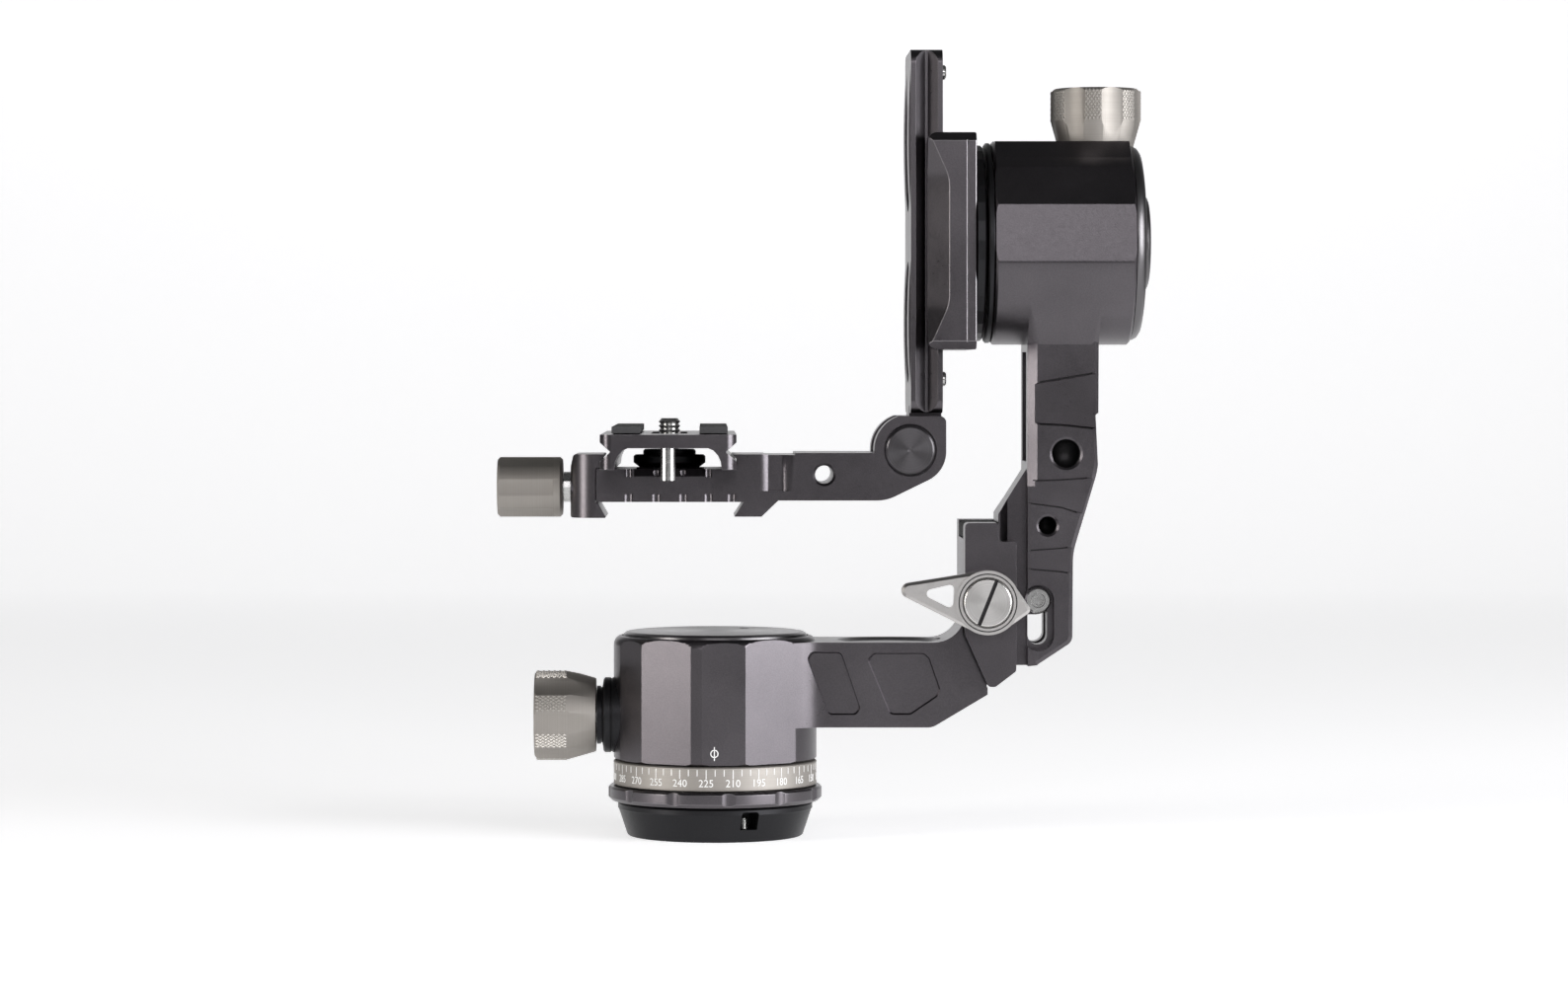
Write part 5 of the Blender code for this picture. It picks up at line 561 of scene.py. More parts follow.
def pan_housing():
    """The machined body: pan drum, lower arm, the fixed half of the arm clamp and the pivot ear."""
    rim, rim_height = 2.2, 2.7
    shoulder = [(DRUM_RADIUS - rim + out * rim, DRUM_TOP - rim_height + up * rim_height)
            for out, up in arc((0, 0), 1, 90, 0, 7)]
    drum = turned([(0, DRUM_TOP)] + shoulder + [(DRUM_RADIUS, DRUM_BOTTOM + 0.4), (DRUM_RADIUS - 0.4, DRUM_BOTTOM),
            (0, DRUM_BOTTOM)], steps=192)
    work = facet_cutters((0, 0), DRUM_RADIUS, PAN_FACETS, 20, 60, "Z")

    flank = rounded([(14, -14, 0), (22.3, -18.76, 0), (27.87, -ARM_HALF, 13), (40, -ARM_HALF, 0), (40, ARM_HALF, 0),
            (27.87, ARM_HALF, 13), (22.3, 18.76, 0), (14, 14, 0)], 8)
    root = slab(flank, ARM_BOTTOM, ARM_TOP, "Z")
    work += joins(root)

    arm = slab(rounded([(20, ARM_BOTTOM, 0), (62.1, ARM_BOTTOM, 5), (77.9, 41.4, 0), (77.9, 65.3, 0),
            (71.5, 65.3, 0), (BLOCK_LEFT, ARM_TOP, 9), (20, ARM_TOP, 0)], 10), -ARM_HALF, ARM_HALF)
    room = slab([(70.8, 58.3), (77.5, 43.4), (BLOCK_RIGHT, 43.4), (BLOCK_RIGHT, BLOCK_TOP), (70.8, BLOCK_TOP)], -24,
            -11)
    rear = slab([(BLOCK_LEFT, 58.9), (77.8, 44), (79.8, 44), (BLOCK_RIGHT, 48.5), (BLOCK_RIGHT, BLOCK_TOP),
            (BLOCK_LEFT, BLOCK_TOP)], -11, BLOCK_HALF)
    ear = slab([(79, 63.8)] + arc((PIVOT_X, PIVOT_Z), 4.5, -90, 90, 16) + [(79, 72.8)], -4, 4)
    work += [("join", arm), ("cut", room), ("join", rear), ("cut", box((69, -21, 85.9), (81.2, 11.3, 95))),
            ("cut", tongue_room(BLOCK_HALF)), ("join", ear), ("cut", rod(2.8, (PIVOT_X, -8, PIVOT_Z), 16, "Y"))]
    work += joins(turned([(12.5, 20.9), (12.5, 26), (22.7, 26), (22.7, 21.2), (22.4, 20.9)], steps=ROUND))
    work += cuts(turned([(0, 60), (26.9, 60), (26.9, 56.2), (15.3, 56.2), (15.3, 40.7), (12.5, 40.7), (12.5, 26.1),
            (16.8, 26.1), (16.8, 18), (0, 18)], steps=ROUND))
    work += cuts(rod(4.3, (-18.6, 0, PAN_KNOB_Z), 17.8, "X"), rod(2.9, (-31.3, 0, PAN_KNOB_Z), 29.3, "X"),
            rod(11.15, (-31.3, 0, PAN_KNOB_Z), 6.3, "X", 96))

    inner = [(27.4, 53.8), (36.1, 53.8), (41.8, 37.1), (40.3, 35.4), (32.4, 35.4), (26.2, 51.8)]
    outer = [(43.2, 51.5), (44.9, 53.5), (59.8, 53.5), (61.4, 52.1), (64.6, 42.8), (63.8, 40.8), (55.9, 35.4),
            (49.9, 35.4)]
    for side in (-1, 1):
        for outline in (inner, outer):
            drawn = rounded([(x, z, 1.6) for x, z in outline], 6)
            pocket = slab(drawn, -15.35, -14.25, taper=0.935)
            above = slab(drawn, -19, -15.3)
            work += cuts(sided(pocket, side), sided(above, side))
    dish = turned([(0, 60), (15.2, 60), (15.2, 56.4), (13.4, 55.5), (0, 55.5)], (50, 0, 0), "Z", 96)
    work += cuts(dish, rod(2.8, (LEVER_X, -22, LEVER_Z), 46, "Y"), rod(4.9, (LEVER_X, 16.7, LEVER_Z), 6, "Y"))
    for height in ARM_GUIDES:
        work += joins(rod(1.8, (LEVER_X, -18.7, height), 19, "Y", 24))
    grey_piece("pan_housing_machined", drum, work, 0.22, "pan", "pan_housing")

    circle = turned([(0.88, 0), (1.16, 0), (1.16, -0.08), (0.88, -0.08)], axis="Y", steps=32)
    line = box((-0.14, -0.08, -2.0), (0.14, 0, 1.9))
    depth = DRUM_RADIUS * cos(radians(12.25))       # of the flat facet that the mark is on
    mark = shifted(gathered([circle, line]), move=(-2.65, -depth, 25.6))
    shifted(mark, (radians(4.75), "Z"))
    finished("index_mark", mark, (), 0, (MARKS,), "pan", "anodised_dark_grey")


def pan_trim():
    """Cap, collar and fasteners that turn with the pan housing."""
    cap_finish = lathed("top_cap_turned", (0.16, 0.155, 0.16), (0, 0, 0), "Z", rough=(0.28, 0.36), lines=3600)
    cap = turned([(0, 58.9), (24.6, 58.9), (25.6, 58.75), (26.3, 58.3), (26.6, 57.6), (26.6, 56.5), (0, 56.5)],
            steps=FINE)
    hole = turned([(0, 61), (1.6, 61), (1.6, 59), (1.0, 58.4), (1.0, 55), (0, 55)], (8.5, 12, 0), "Z", 24)
    finished("pan_top_cap_turned", cap, cuts(hole), 0, (cap_finish,), "pan", "anodised_dark_grey", "pan_top_cap")

    collar = turned([(2.9, -34.1), (8.4, -34.1), (8.4, -33.0), (8.0, -33.0), (8.0, -32.6), (8.9, -32.4),
            (10.4, -32.2), (10.85, -31.75), (10.85, -30.2), (10.6, -30.0), (10.6, -29.7), (10.85, -29.5),
            (10.85, -25.3), (2.9, -25.3)], (0, 0, PAN_KNOB_Z), "X", 96)
    finished("pan_knob_collar_turned", collar, (), 0, (BLACK,), "pan", "anodised_black", "pan_knob_collar")

    cap = slab(rounded([(BLOCK_LEFT, 86.2, 0.3), (80.9, 86.2, 0.3), (80.9, BLOCK_TOP, 1.0),
            (BLOCK_LEFT, BLOCK_TOP, 1.6)]), -11, 11)
    finished("arm_clamp_cap_block", cap, (), 0.3, (BLACK_POLYMER,), "pan", "anodised_black", "arm_clamp_cap")

    face = -13.9
    head = turned([(0, 12.4), (2.5, 12.4), (2.5, -10.8), (3.75, -10.8), (3.75, face + 0.5), (3.2, face),
            (2.1, face), (1.9, face + 0.2), (0, face + 0.2)], PIVOT_AXIS, "Y", 48)
    socket = slab(arc((PIVOT_X, PIVOT_Z), 1.75, 0, 300, 5), face - 1, face + 1.6)
    finished("pivot_shoulder_screw_socket", head, cuts(socket), 0, (STEEL,), "pan", "steel", "pivot_shoulder_screw")


def flute_cutters(count, land, radius, reach, low, length):
    """Round cutters that stand about the Z axis, midway between a knob's lands."""
    turns = [land + 2 * pi * (index + 0.5) / count for index in range(count)]
    return [rod(radius, (reach * cos(turn), reach * sin(turn), low), length, "Z", 96) for turn in turns]


def fluted(name, knob, flutes, edge, origin, axis, body):
    """A knob with its flutes cut, laid along its axis."""
    finish = lathed(name + "_finish", KNOB_COLOUR, origin, axis, rough=(0.54, 0.62), lines=4200, depth=0.15,
            along=True, sheen_lines=0.0)
    for shape in [knob] + flutes:
        stood(shape, axis, origin)
    finished(name + "_fluted", knob, cuts(*flutes), edge, (finish, TITANIUM_EDGE), body, "anodised_titanium", name)


def lock_knob(prefix, origin, axis, land, body):
    """A fluted lock knob with knurled lands. Distances run from its foot outwards."""
    radius, length, grip, neck = 12.9, 17.7, 9.6, 10.5
    cone_top = length - grip
    name = prefix + "_lock_knob"
    knob = turned([(0, length - 0.25), (6.0, length - 0.25), (6.3, length), (radius - 1.0, length),
            (radius, length - 0.8), (radius, cone_top), (neck + 0.25, 0.5), (neck, 0), (2.9, 0), (2.9, 10),
            (0, 10)], steps=FINE)
    flutes = flute_cutters(LOCK_FLUTES, land, 9.5, 21.35, -2, length + 4)
    fluted(name, knob, flutes, 0.22, origin, axis, body)

    diamonds = []
    pitch_angle, pitch_height, rows, reach = radians(4.6), 0.775, 11, radians(9.4)
    for index in range(LOCK_FLUTES):
        centre_angle = land + 2 * pi * index / LOCK_FLUTES
        for row in range(rows):
            height = cone_top + 0.75 + row * pitch_height
            shift = 0.5 * (row % 2)
            for column in range(-2, 3):
                angle = centre_angle + (column + shift) * pitch_angle
                if abs(angle - centre_angle) > reach:
                    continue
                diamond = bmesh.new()
                bmesh.ops.create_cone(diamond, cap_ends=True, segments=4, radius1=0.50, radius2=0.20, depth=0.30)
                bmesh.ops.scale(diamond, verts=diamond.verts, vec=(1.46, 1, 1))
                standing = shifted(diamond, (pi / 2, "Y"), move=(radius + 0.06, 0, height))
                diamonds.append(shifted(standing, (angle, "Z")))
    knurl = stood(gathered(diamonds), axis, origin)
    finished(name + "_knurl", knurl, (), 0, (KNURLED,), body, "anodised_titanium")


# Arm clamp

def arm_clamp():
    """The moving jaw, the lever and its slotted bolt."""
    outline = rounded([(BLOCK_LEFT, 58.9, 0.6), (77.8, 44, 1.2), (79.8, 44, 1.2), (BLOCK_RIGHT, 48.5, 1.2),
            (BLOCK_RIGHT, 85.3, 0.6), (80.6, 85.3, 1.6), (80.6, BLOCK_TOP, 0.6), (BLOCK_LEFT, BLOCK_TOP, 1.2)], 5)
    jaw = slab(outline, -BLOCK_HALF, -9.5)
    room = slab([(69, -11.6), (82.1, -11.6), (84.3, -9.4), (88, -9.4), (88, 0), (69, 0)], 30, 95, "Z")
    work = cuts(room, rod(2.8, (LEVER_X, -23, LEVER_Z), 21, "Y"))
    for height in ARM_GUIDES:
        work += cuts(rod(2.1, (LEVER_X, -19, height), 21, "Y", 24))
    grey_piece("arm_clamp_jaw_machined", jaw, work, 0.45, "arm_jaw", "arm_clamp_jaw", segments=3)

    back, front = -21.3, -25.5
    handle = slab(hull([((LEVER_X, LEVER_Z), 9.1), ((55.1, 71.6), 2.2), ((88.0, 66.2), 1.4)]), back, front + 0.6)
    brow = [rim for rim in handle.edges if all(end.co.y < front + 0.7 for end in rim.verts)]
    bmesh.ops.bevel(handle, geom=brow, offset=0.85, segments=1, profile=0.5, affect="EDGES", material=-1)
    eye = turned([(0, back), (9.15, back), (9.15, front), (0, front)], LEVER_AXIS, "Y", 96)
    bore = turned([(0, back + 2), (2.8, back + 2), (2.8, front + 3), (7.3, front + 3), (7.3, front - 2),
            (0, front - 2)], LEVER_AXIS, "Y", 96)
    # Painted shade: the walls of the lever's ring groove take the dark finish
    ring = painted(turned([(8.0, front - 2), (8.35, front - 2), (8.35, front + 0.25), (8.0, front + 0.25)],
            LEVER_AXIS, "Y", 96), 2)
    window = slab(rounded([(67.6, 66.0, 1.3), (67.9, 73.6, 1.3), (57.6, 71.2, 1.3)], 6), front - 2, back + 2)

    finished("arm_clamp_lever_machined", handle, joins(eye) + cuts(bore, window), 0.25, BRIGHT + (PAINTED_SHADE_FINISH,),
            "lever", "satin_aluminium", "arm_clamp_lever", late=cuts(ring))

    bolt_finish = lathed("bolt_face_turned", (0.60, 0.59, 0.575), LEVER_AXIS, "Y", rough=(0.30, 0.38), lines=2600,
            depth=0.3, sheen_lines=0.6)
    head = -25.8
    bolt = turned([(0, 20.7), (2.5, 20.7), (2.5, -22.8), (6.95, -22.8), (6.95, head + 0.5), (6.5, head), (0, head)],
            LEVER_AXIS, "Y", 96)
    slot = shifted(box((-0.55, head - 2, -10), (0.55, head + 1.3, 10)), (radians(21.7), "Y"), move=LEVER_AXIS)
    # Painted shade: the walls of the bolt's slot take the dark finish
    painted(slot, 2)
    finished("arm_clamp_bolt_slotted", bolt, (), 0.12, (bolt_finish, SATIN_EDGE, PAINTED_SHADE_FINISH), "lever",
            "satin_aluminium", "arm_clamp_bolt", late=cuts(slot))


def hull(circles, steps=72):
    """The outline of a tight band round several circles."""
    drawn = bmesh.new()
    for (x, z), radius in circles:
        for point in arc((x, z), radius, 0, 360, steps)[:-1]:
            drawn.verts.new((point[0], point[1], 0))
    made = bmesh.ops.convex_hull(drawn, input=drawn.verts)
    rim = [vert for vert in drawn.verts if vert.link_edges]
    middle = sum((vert.co for vert in rim), Vector()) / len(rim)
    rim.sort(key=lambda vert: atan2(vert.co.y - middle.y, vert.co.x - middle.x))
    outline = [(vert.co.x, vert.co.y) for vert in rim]
    drawn.free()
    return outline


# Upper arm and tilt drum

def upper_arm():
    """The upper arm with its dovetail tongue, and the tilt drum's housing."""
    drum = turned([(0, 119.4), (28.8, 119.4), (TILT_RADIUS, 118.8), (TILT_RADIUS, 80.2), (28.8, 79.6), (0, 79.6)],
            TILT_AXIS, "X", 192)
    pad = slab([(-11.3, 199.95), (11.3, 199.95), (21.6, 190.9), (21.6, 186), (-21.6, 186), (-21.6, 190.9)], 80.2,
            118.8, "X")
    work = [("join", pad)] + facet_cutters((0, TILT_Z), TILT_RADIUS, TILT_FACETS, 78, 121, "X")
    arm = slab(rounded([(89.4, 49.5, 0), (92.1, 49.8, 0.5), (102.2, 56.5, 3), (102.4, 82.0, 20), (109.6, 106.0, 20),
            (109.8, 146, 0), (89.4, 146, 0)], 8), -ARM_HALF, ARM_HALF)
    tongue = slab([(81.2, -11), (81.8, -11), (84.0, -8.8), (91.4, -8.8), (91.4, 8.8), (84.0, 8.8), (81.8, 11),
            (81.2, 11)], 49.5, 105.9, "Z")
    slope = slab([(79.2, 89.8), (89.4, 105.9), (89.4, 107.9), (79.2, 107.9)], -20, 20)
    silhouette = [rim for rim in arm.edges if abs(rim.verts[0].co.y - rim.verts[1].co.y) < 0.1
            and max(end.co.x for end in rim.verts) > 93 and min(end.co.z for end in rim.verts) < 145]
    bmesh.ops.bevel(arm, geom=silhouette, offset=1.2, segments=1, profile=0.5, affect="EDGES", material=-1)
    ramp = bmesh.new()
    for across, foot in ((89.4, 93.0), (109.8, 107.6)):
        for point in ((across, -23.9, 153.9), (across, -9, 158), (foot, -15, 141.6), (across, -13.3, 141.6),
                      (across, -9, 141.6)):
            ramp.verts.new(point)
    bmesh.ops.convex_hull(ramp, input=ramp.verts)
    bmesh.ops.dissolve_limit(ramp, angle_limit=radians(0.5), verts=ramp.verts, edges=ramp.edges)
    closed(ramp)
    strips = []
    for side in (-1, 1):
        strips += cuts(slab([(87.4, side * 16), (87.4, side * 11.5), (92.1, side * 15), (93.4, side * 16)], 101,
                142, "Z"))
        work += joins(sided(ramp.copy(), side))
    ramp.free()
    step = slab([(108.8, 121.4), (109.4, 121.9), (113, 121.9), (113, 104), (109.6, 106)], -20, 20)
    work += [("join", arm), ("join", tongue), ("cut", slope), ("cut", step)] + strips
    work += cuts(box((79.2, -4.3, 53.3), (97.4, 4.3, 73.3)))
    lift = (PIVOT_X, PIVOT_Z - LIFT), (PIVOT_X, PIVOT_Z)
    work += cuts(slab(obround(*lift, 2.8), -18, 18))
    bands = (((118.9, 118.4, 116.9), (129.8, 131.9, 134.3), 92.8, 108.0, 108.0),
            ((96.6, 94.9, 90.4), (102.5, 102.9, 103.9), 90.2, 103.4, 106.4),
            ((77.6, 76.5, 74.4), (82.4, 83.3, 84.9), 90.2, 100.8, 100.8))
    grooves = []
    for side in (-1, 1):
        for lows, highs, left, low_right, high_right in bands:
            low_edge = list(zip((86, 99, 113), lows))
            high_edge = list(zip((113, 99, 86), reversed(highs)))
            band = slab(low_edge + high_edge, -15.3, -14.5, taper=0.93)
            work += cuts(sided(band, side))
            for (first, second, third), right in ((lows, low_right), (highs, high_right)):
                run = [(left, first + (second - first) * (left - 86) / 13), (99, second),
                       (right, second + (third - second) * (right - 99) / 14)]
                line = [(x, z - 0.19) for x, z in run] + [(x, z + 0.19) for x, z in reversed(run)]
                # Painted shade: the walls of each band groove take the dark finish
                grooves += cuts(sided(painted(slab(line, -15.4, -14.1), 2), side))
        near, far = sorted((side * 10.5, side * 18))
        work += cuts(slab(obround(*lift, 4.5), near, far))
        for x, z, radius in ARM_HOLES:
            thread = threaded(radius, radius + 0.3, -4, -0.35, range(2, 32))
            mouth = radius + 0.95
            hole = turned([(0, -3.8), (mouth + 0.2, -3.8), (radius, -4.75)] + thread + [(0, -17.4)], steps=48)
            for wall in hole.faces:         # painted shade: the thread and bottom below the hole's mouth take the dark finish
                wall.material_index = 2 if wall.calc_center_median().z < -4.9 else 0
            hole = shifted(shifted(hole, move=(0, 0, 19.2)), (side * -pi / 2, "X"), move=(x, 0, z))
            work += cuts(hole)
    work += cuts(box((87.4, -8, 108), (91.4, 8, 139.5)))
    work += cuts(turned([(0, 122), (19.3, 122), (19.3, 115.1), (13.2, 115.1), (13.2, 83.9), (19.3, 83.9),
            (19.3, 77), (0, 77)], TILT_AXIS, "X", ROUND))
    work += cuts(rod(4.3, (TILT_KNOB_X, 0, 181.6), 10, "Z"), rod(2.9, (TILT_KNOB_X, 0, 183.6), 22, "Z"),
            rod(10.95, (TILT_KNOB_X, 0, 197.4), 12, "Z", 96))
    finished("upper_arm_machined", drum, work, 0.25, GREY + (PAINTED_SHADE_FINISH,), "arm", "anodised_dark_grey", "upper_arm",
            late=grooves)


def drum_trim():
    """Cover ring, end cap and boss of the tilt drum."""
    cover = turned([(13.1, 77.6), (28.4, 77.6), (28.9, 78.0), (28.9, 79.0), (28.5, 79.3), (13.1, 79.3)], TILT_AXIS,
            "X", FINE)
    finished("drum_cover_ring_turned", cover, (), 0, (BLACK,), "arm", "anodised_black", "drum_cover_ring")
    cap_finish = lathed("end_cap_turned", (0.15, 0.145, 0.15), TILT_AXIS, "X", rough=(0.3, 0.4))
    cap = turned([(0, 122.6), (24.5, 122.6), (26.2, 122.3), (27.4, 121.5), (28, 120.4), (28, 119.7), (19, 119.7),
            (19, 121.8), (0, 121.8)], TILT_AXIS, "X", FINE)
    finished("drum_end_cap_domed", cap, (), 0, (cap_finish,), "arm", "anodised_dark_grey", "drum_end_cap")
    boss = turned([(0, 124.9), (9.6, 124.9), (10.0, 124.6), (10.4, 124.9), (12.4, 124.9), (13.2, 124.6),
            (13.7, 124.0), (13.7, 122.9), (0, 122.9)], TILT_AXIS, "X", FINE)
    finished("drum_boss_domed", boss, (), 0, (cap_finish,), "arm", "anodised_dark_grey", "drum_boss")


# Rail clamp and rail

def rail_room(side):
    """The room in the clamp for the rail, with the flank that hooks into its groove on one side."""
    middle, seat = 60.35, 65.2
    slope = 2.7 / 3.15
    groove, wall = 16.75, 19.3
    left = CLAMP_LEFT - REACH
    return slab([(left, side * (groove + slope * (left - middle))), (middle + (wall - groove) / slope, side * wall),
            (seat, side * wall), (seat, -side * RAIL_HALF), (left, -side * RAIL_HALF)], 135, 207, "Z")


def rail_clamp():
    """The two halves of the clamp that hold the rail on the tilt shaft."""
    low, high = TILT_Z - CLAMP_HALF, TILT_Z + CLAMP_HALF

    def side_outline(corner):
        return rounded([(CLAMP_LEFT, low, corner), (CLAMP_RIGHT, low, 0.5), (CLAMP_RIGHT, high, 0.5),
                (CLAMP_LEFT, high, corner)], 6)

    body = slab(side_outline(2.6), -CLAMP_REACH, 15)
    bite = 4.3
    arch = rounded([(-10, low - 1, 0), (0, low - 0.5, 0), (bite, low + 13, 16), (bite, high - 13, 16),
            (0, high + 0.5, 0), (-10, high + 1, 0)], 12)
    cutter = shifted(slab(arch, -40, 40), (pi / 4, "Z"), move=(CLAMP_LEFT, -CLAMP_REACH, 0))
    ends = slab([(-27, low - 2), (-21.5, low - 2), (-27, low + 3.4)], CLAMP_LEFT - 2, CLAMP_RIGHT + 2, "X")
    tops = slab([(-27, high + 2), (-27, high - 3.4), (-21.5, high + 2)], CLAMP_LEFT - 2, CLAMP_RIGHT + 2, "X")
    line = box((71.4, -28, low - 3), (71.75, -25.7, high + 3))
    strip = slab([(72.3, -28), (76, -28), (76, -23.6)], low - 3, high + 3, "Z")
    work = cuts(rail_room(-1), cutter, ends, tops, line, strip)
    for side in (-1, 1):
        z = TILT_Z + 8 * side
        work += cuts(turned([(0, 76), (1.8, 76), (1.8, 67.8), (3.0, 67.8), (3.0, 63), (0, 63)], (0, 0, z), "X", 24))
        work += joins(rod(1.8, (69.7, 0, TILT_Z + RAIL_GUIDE * side), 23.7, "Y", 24))
    work += cuts(rod(2.9, (69.7, -15, TILT_Z), 45, "Y"))
    grey_piece("rail_clamp_body_machined", body, work, 0.3, "tilt", "rail_clamp_body")

    jaw = slab(side_outline(2.6), 15.3, CLAMP_REACH)
    work = cuts(rail_room(1), rod(2.9, (69.7, 0, TILT_Z), 28, "Y"))
    for side in (-1, 1):
        work += cuts(rod(2.1, (69.7, 0, TILT_Z + RAIL_GUIDE * side), 24, "Y", 24))
    grey_piece("rail_clamp_jaw_machined", jaw, work, 0.3, "rail_jaw", "rail_clamp_jaw")


def plain_knob(prefix, origin, axis, radius, foot, length, body):
    """A clamp knob with wide shallow flutes."""
    name = prefix + "_knob"
    top = foot + length
    knob = turned([(0, top - 0.3), (radius * 0.62, top - 0.3), (radius * 0.66, top), (radius - 0.7, top),
            (radius, top - 0.7), (radius, foot + 0.7), (radius - 0.7, foot), (2.9, foot), (2.9, foot + 8),
            (0, foot + 8)], steps=FINE)
    flutes = flute_cutters(PLAIN_FLUTES, 0, 1.1 * radius, 2.03 * radius, foot + 0.14 * length, length + 2)
    fluted(name, knob, flutes, 0.2, origin, axis, body)


def height_rail():
    """The dovetail rail with its windows, the hinge knuckle and the two stop screws."""
    middle, groove = 60.35, 16.3
    side = [(RAIL_LEFT, 19.0), (57.2, 19.0), (middle - 0.35, groove), (middle + 0.35, groove), (63.5, 19.0),
            (RAIL_RIGHT, 19.0)]
    rail = slab(side + [(x, -y) for x, y in reversed(side)], RAIL_BOTTOM, RAIL_TOP, "Z")
    face = slab(rounded([(-RAIL_HALF, RAIL_BOTTOM, 4.0), (RAIL_HALF, RAIL_BOTTOM, 4.0), (RAIL_HALF, RAIL_TOP, 4.0),
            (-RAIL_HALF, RAIL_TOP, 4.0)], 12), RAIL_LEFT - 5, RAIL_RIGHT + 5, "X")
    work = [("keep", face)]
    for low, high, half in ((187.5, 204.5, 7.5), (154.5, 158.2, 7.5), (136.75, 136.8, 6.1)):
        work += cuts(slab(obround((0, low), (0, high), half, 24), RAIL_LEFT - 2, RAIL_RIGHT + 2, "X"))
    for middle_z, half in ((200.7, 20.0), (148.0, 18.0)):
        lip = [(RAIL_LEFT + 0.6, middle_z + half), (RAIL_LEFT + 0.6, middle_z - half)]
        lip += [(RAIL_LEFT - 0.6 * (1 - share * share / 64), middle_z + half * share / 8) for share in range(-8, 9)]
        for near, far in ((-16.5, -8.6), (8.6, 16.5)):
            work += joins(slab(lip, near, far))
    ring = arc((HINGE_X, HINGE_Z), 9.7, 90, 360, 48) + [(RAIL_RIGHT, 124), (HINGE_X, 124)]
    work += [("join", slab(ring, -9, 9)), ("cut", rod(4.1, (HINGE_X, -20, HINGE_Z), 40, "Y", 48))]
    for z in STOP_SCREWS:
        work += cuts(rod(1.3, (61.6, -10.45, z), 6, "X", 24))
    grey_piece("height_rail_machined", rail, work, 0.25, "rail", "height_rail")
    for label, z in zip(("lower", "upper"), STOP_SCREWS):
        screw = turned([(0, 65.7), (1.0, 65.7), (1.1, 66.2), (1.7, 66.2), (2.1, 65.8), (2.1, 65.2), (1.0, 65.2),
                (1.0, 61.9), (0, 61.9)], (0, -10.45, z), "X", 32)
        finished(f"rail_stop_screw_{label}_socket", screw, (), 0, (STEEL,), "rail", "steel",
                f"rail_stop_screw_{label}")


# Platform

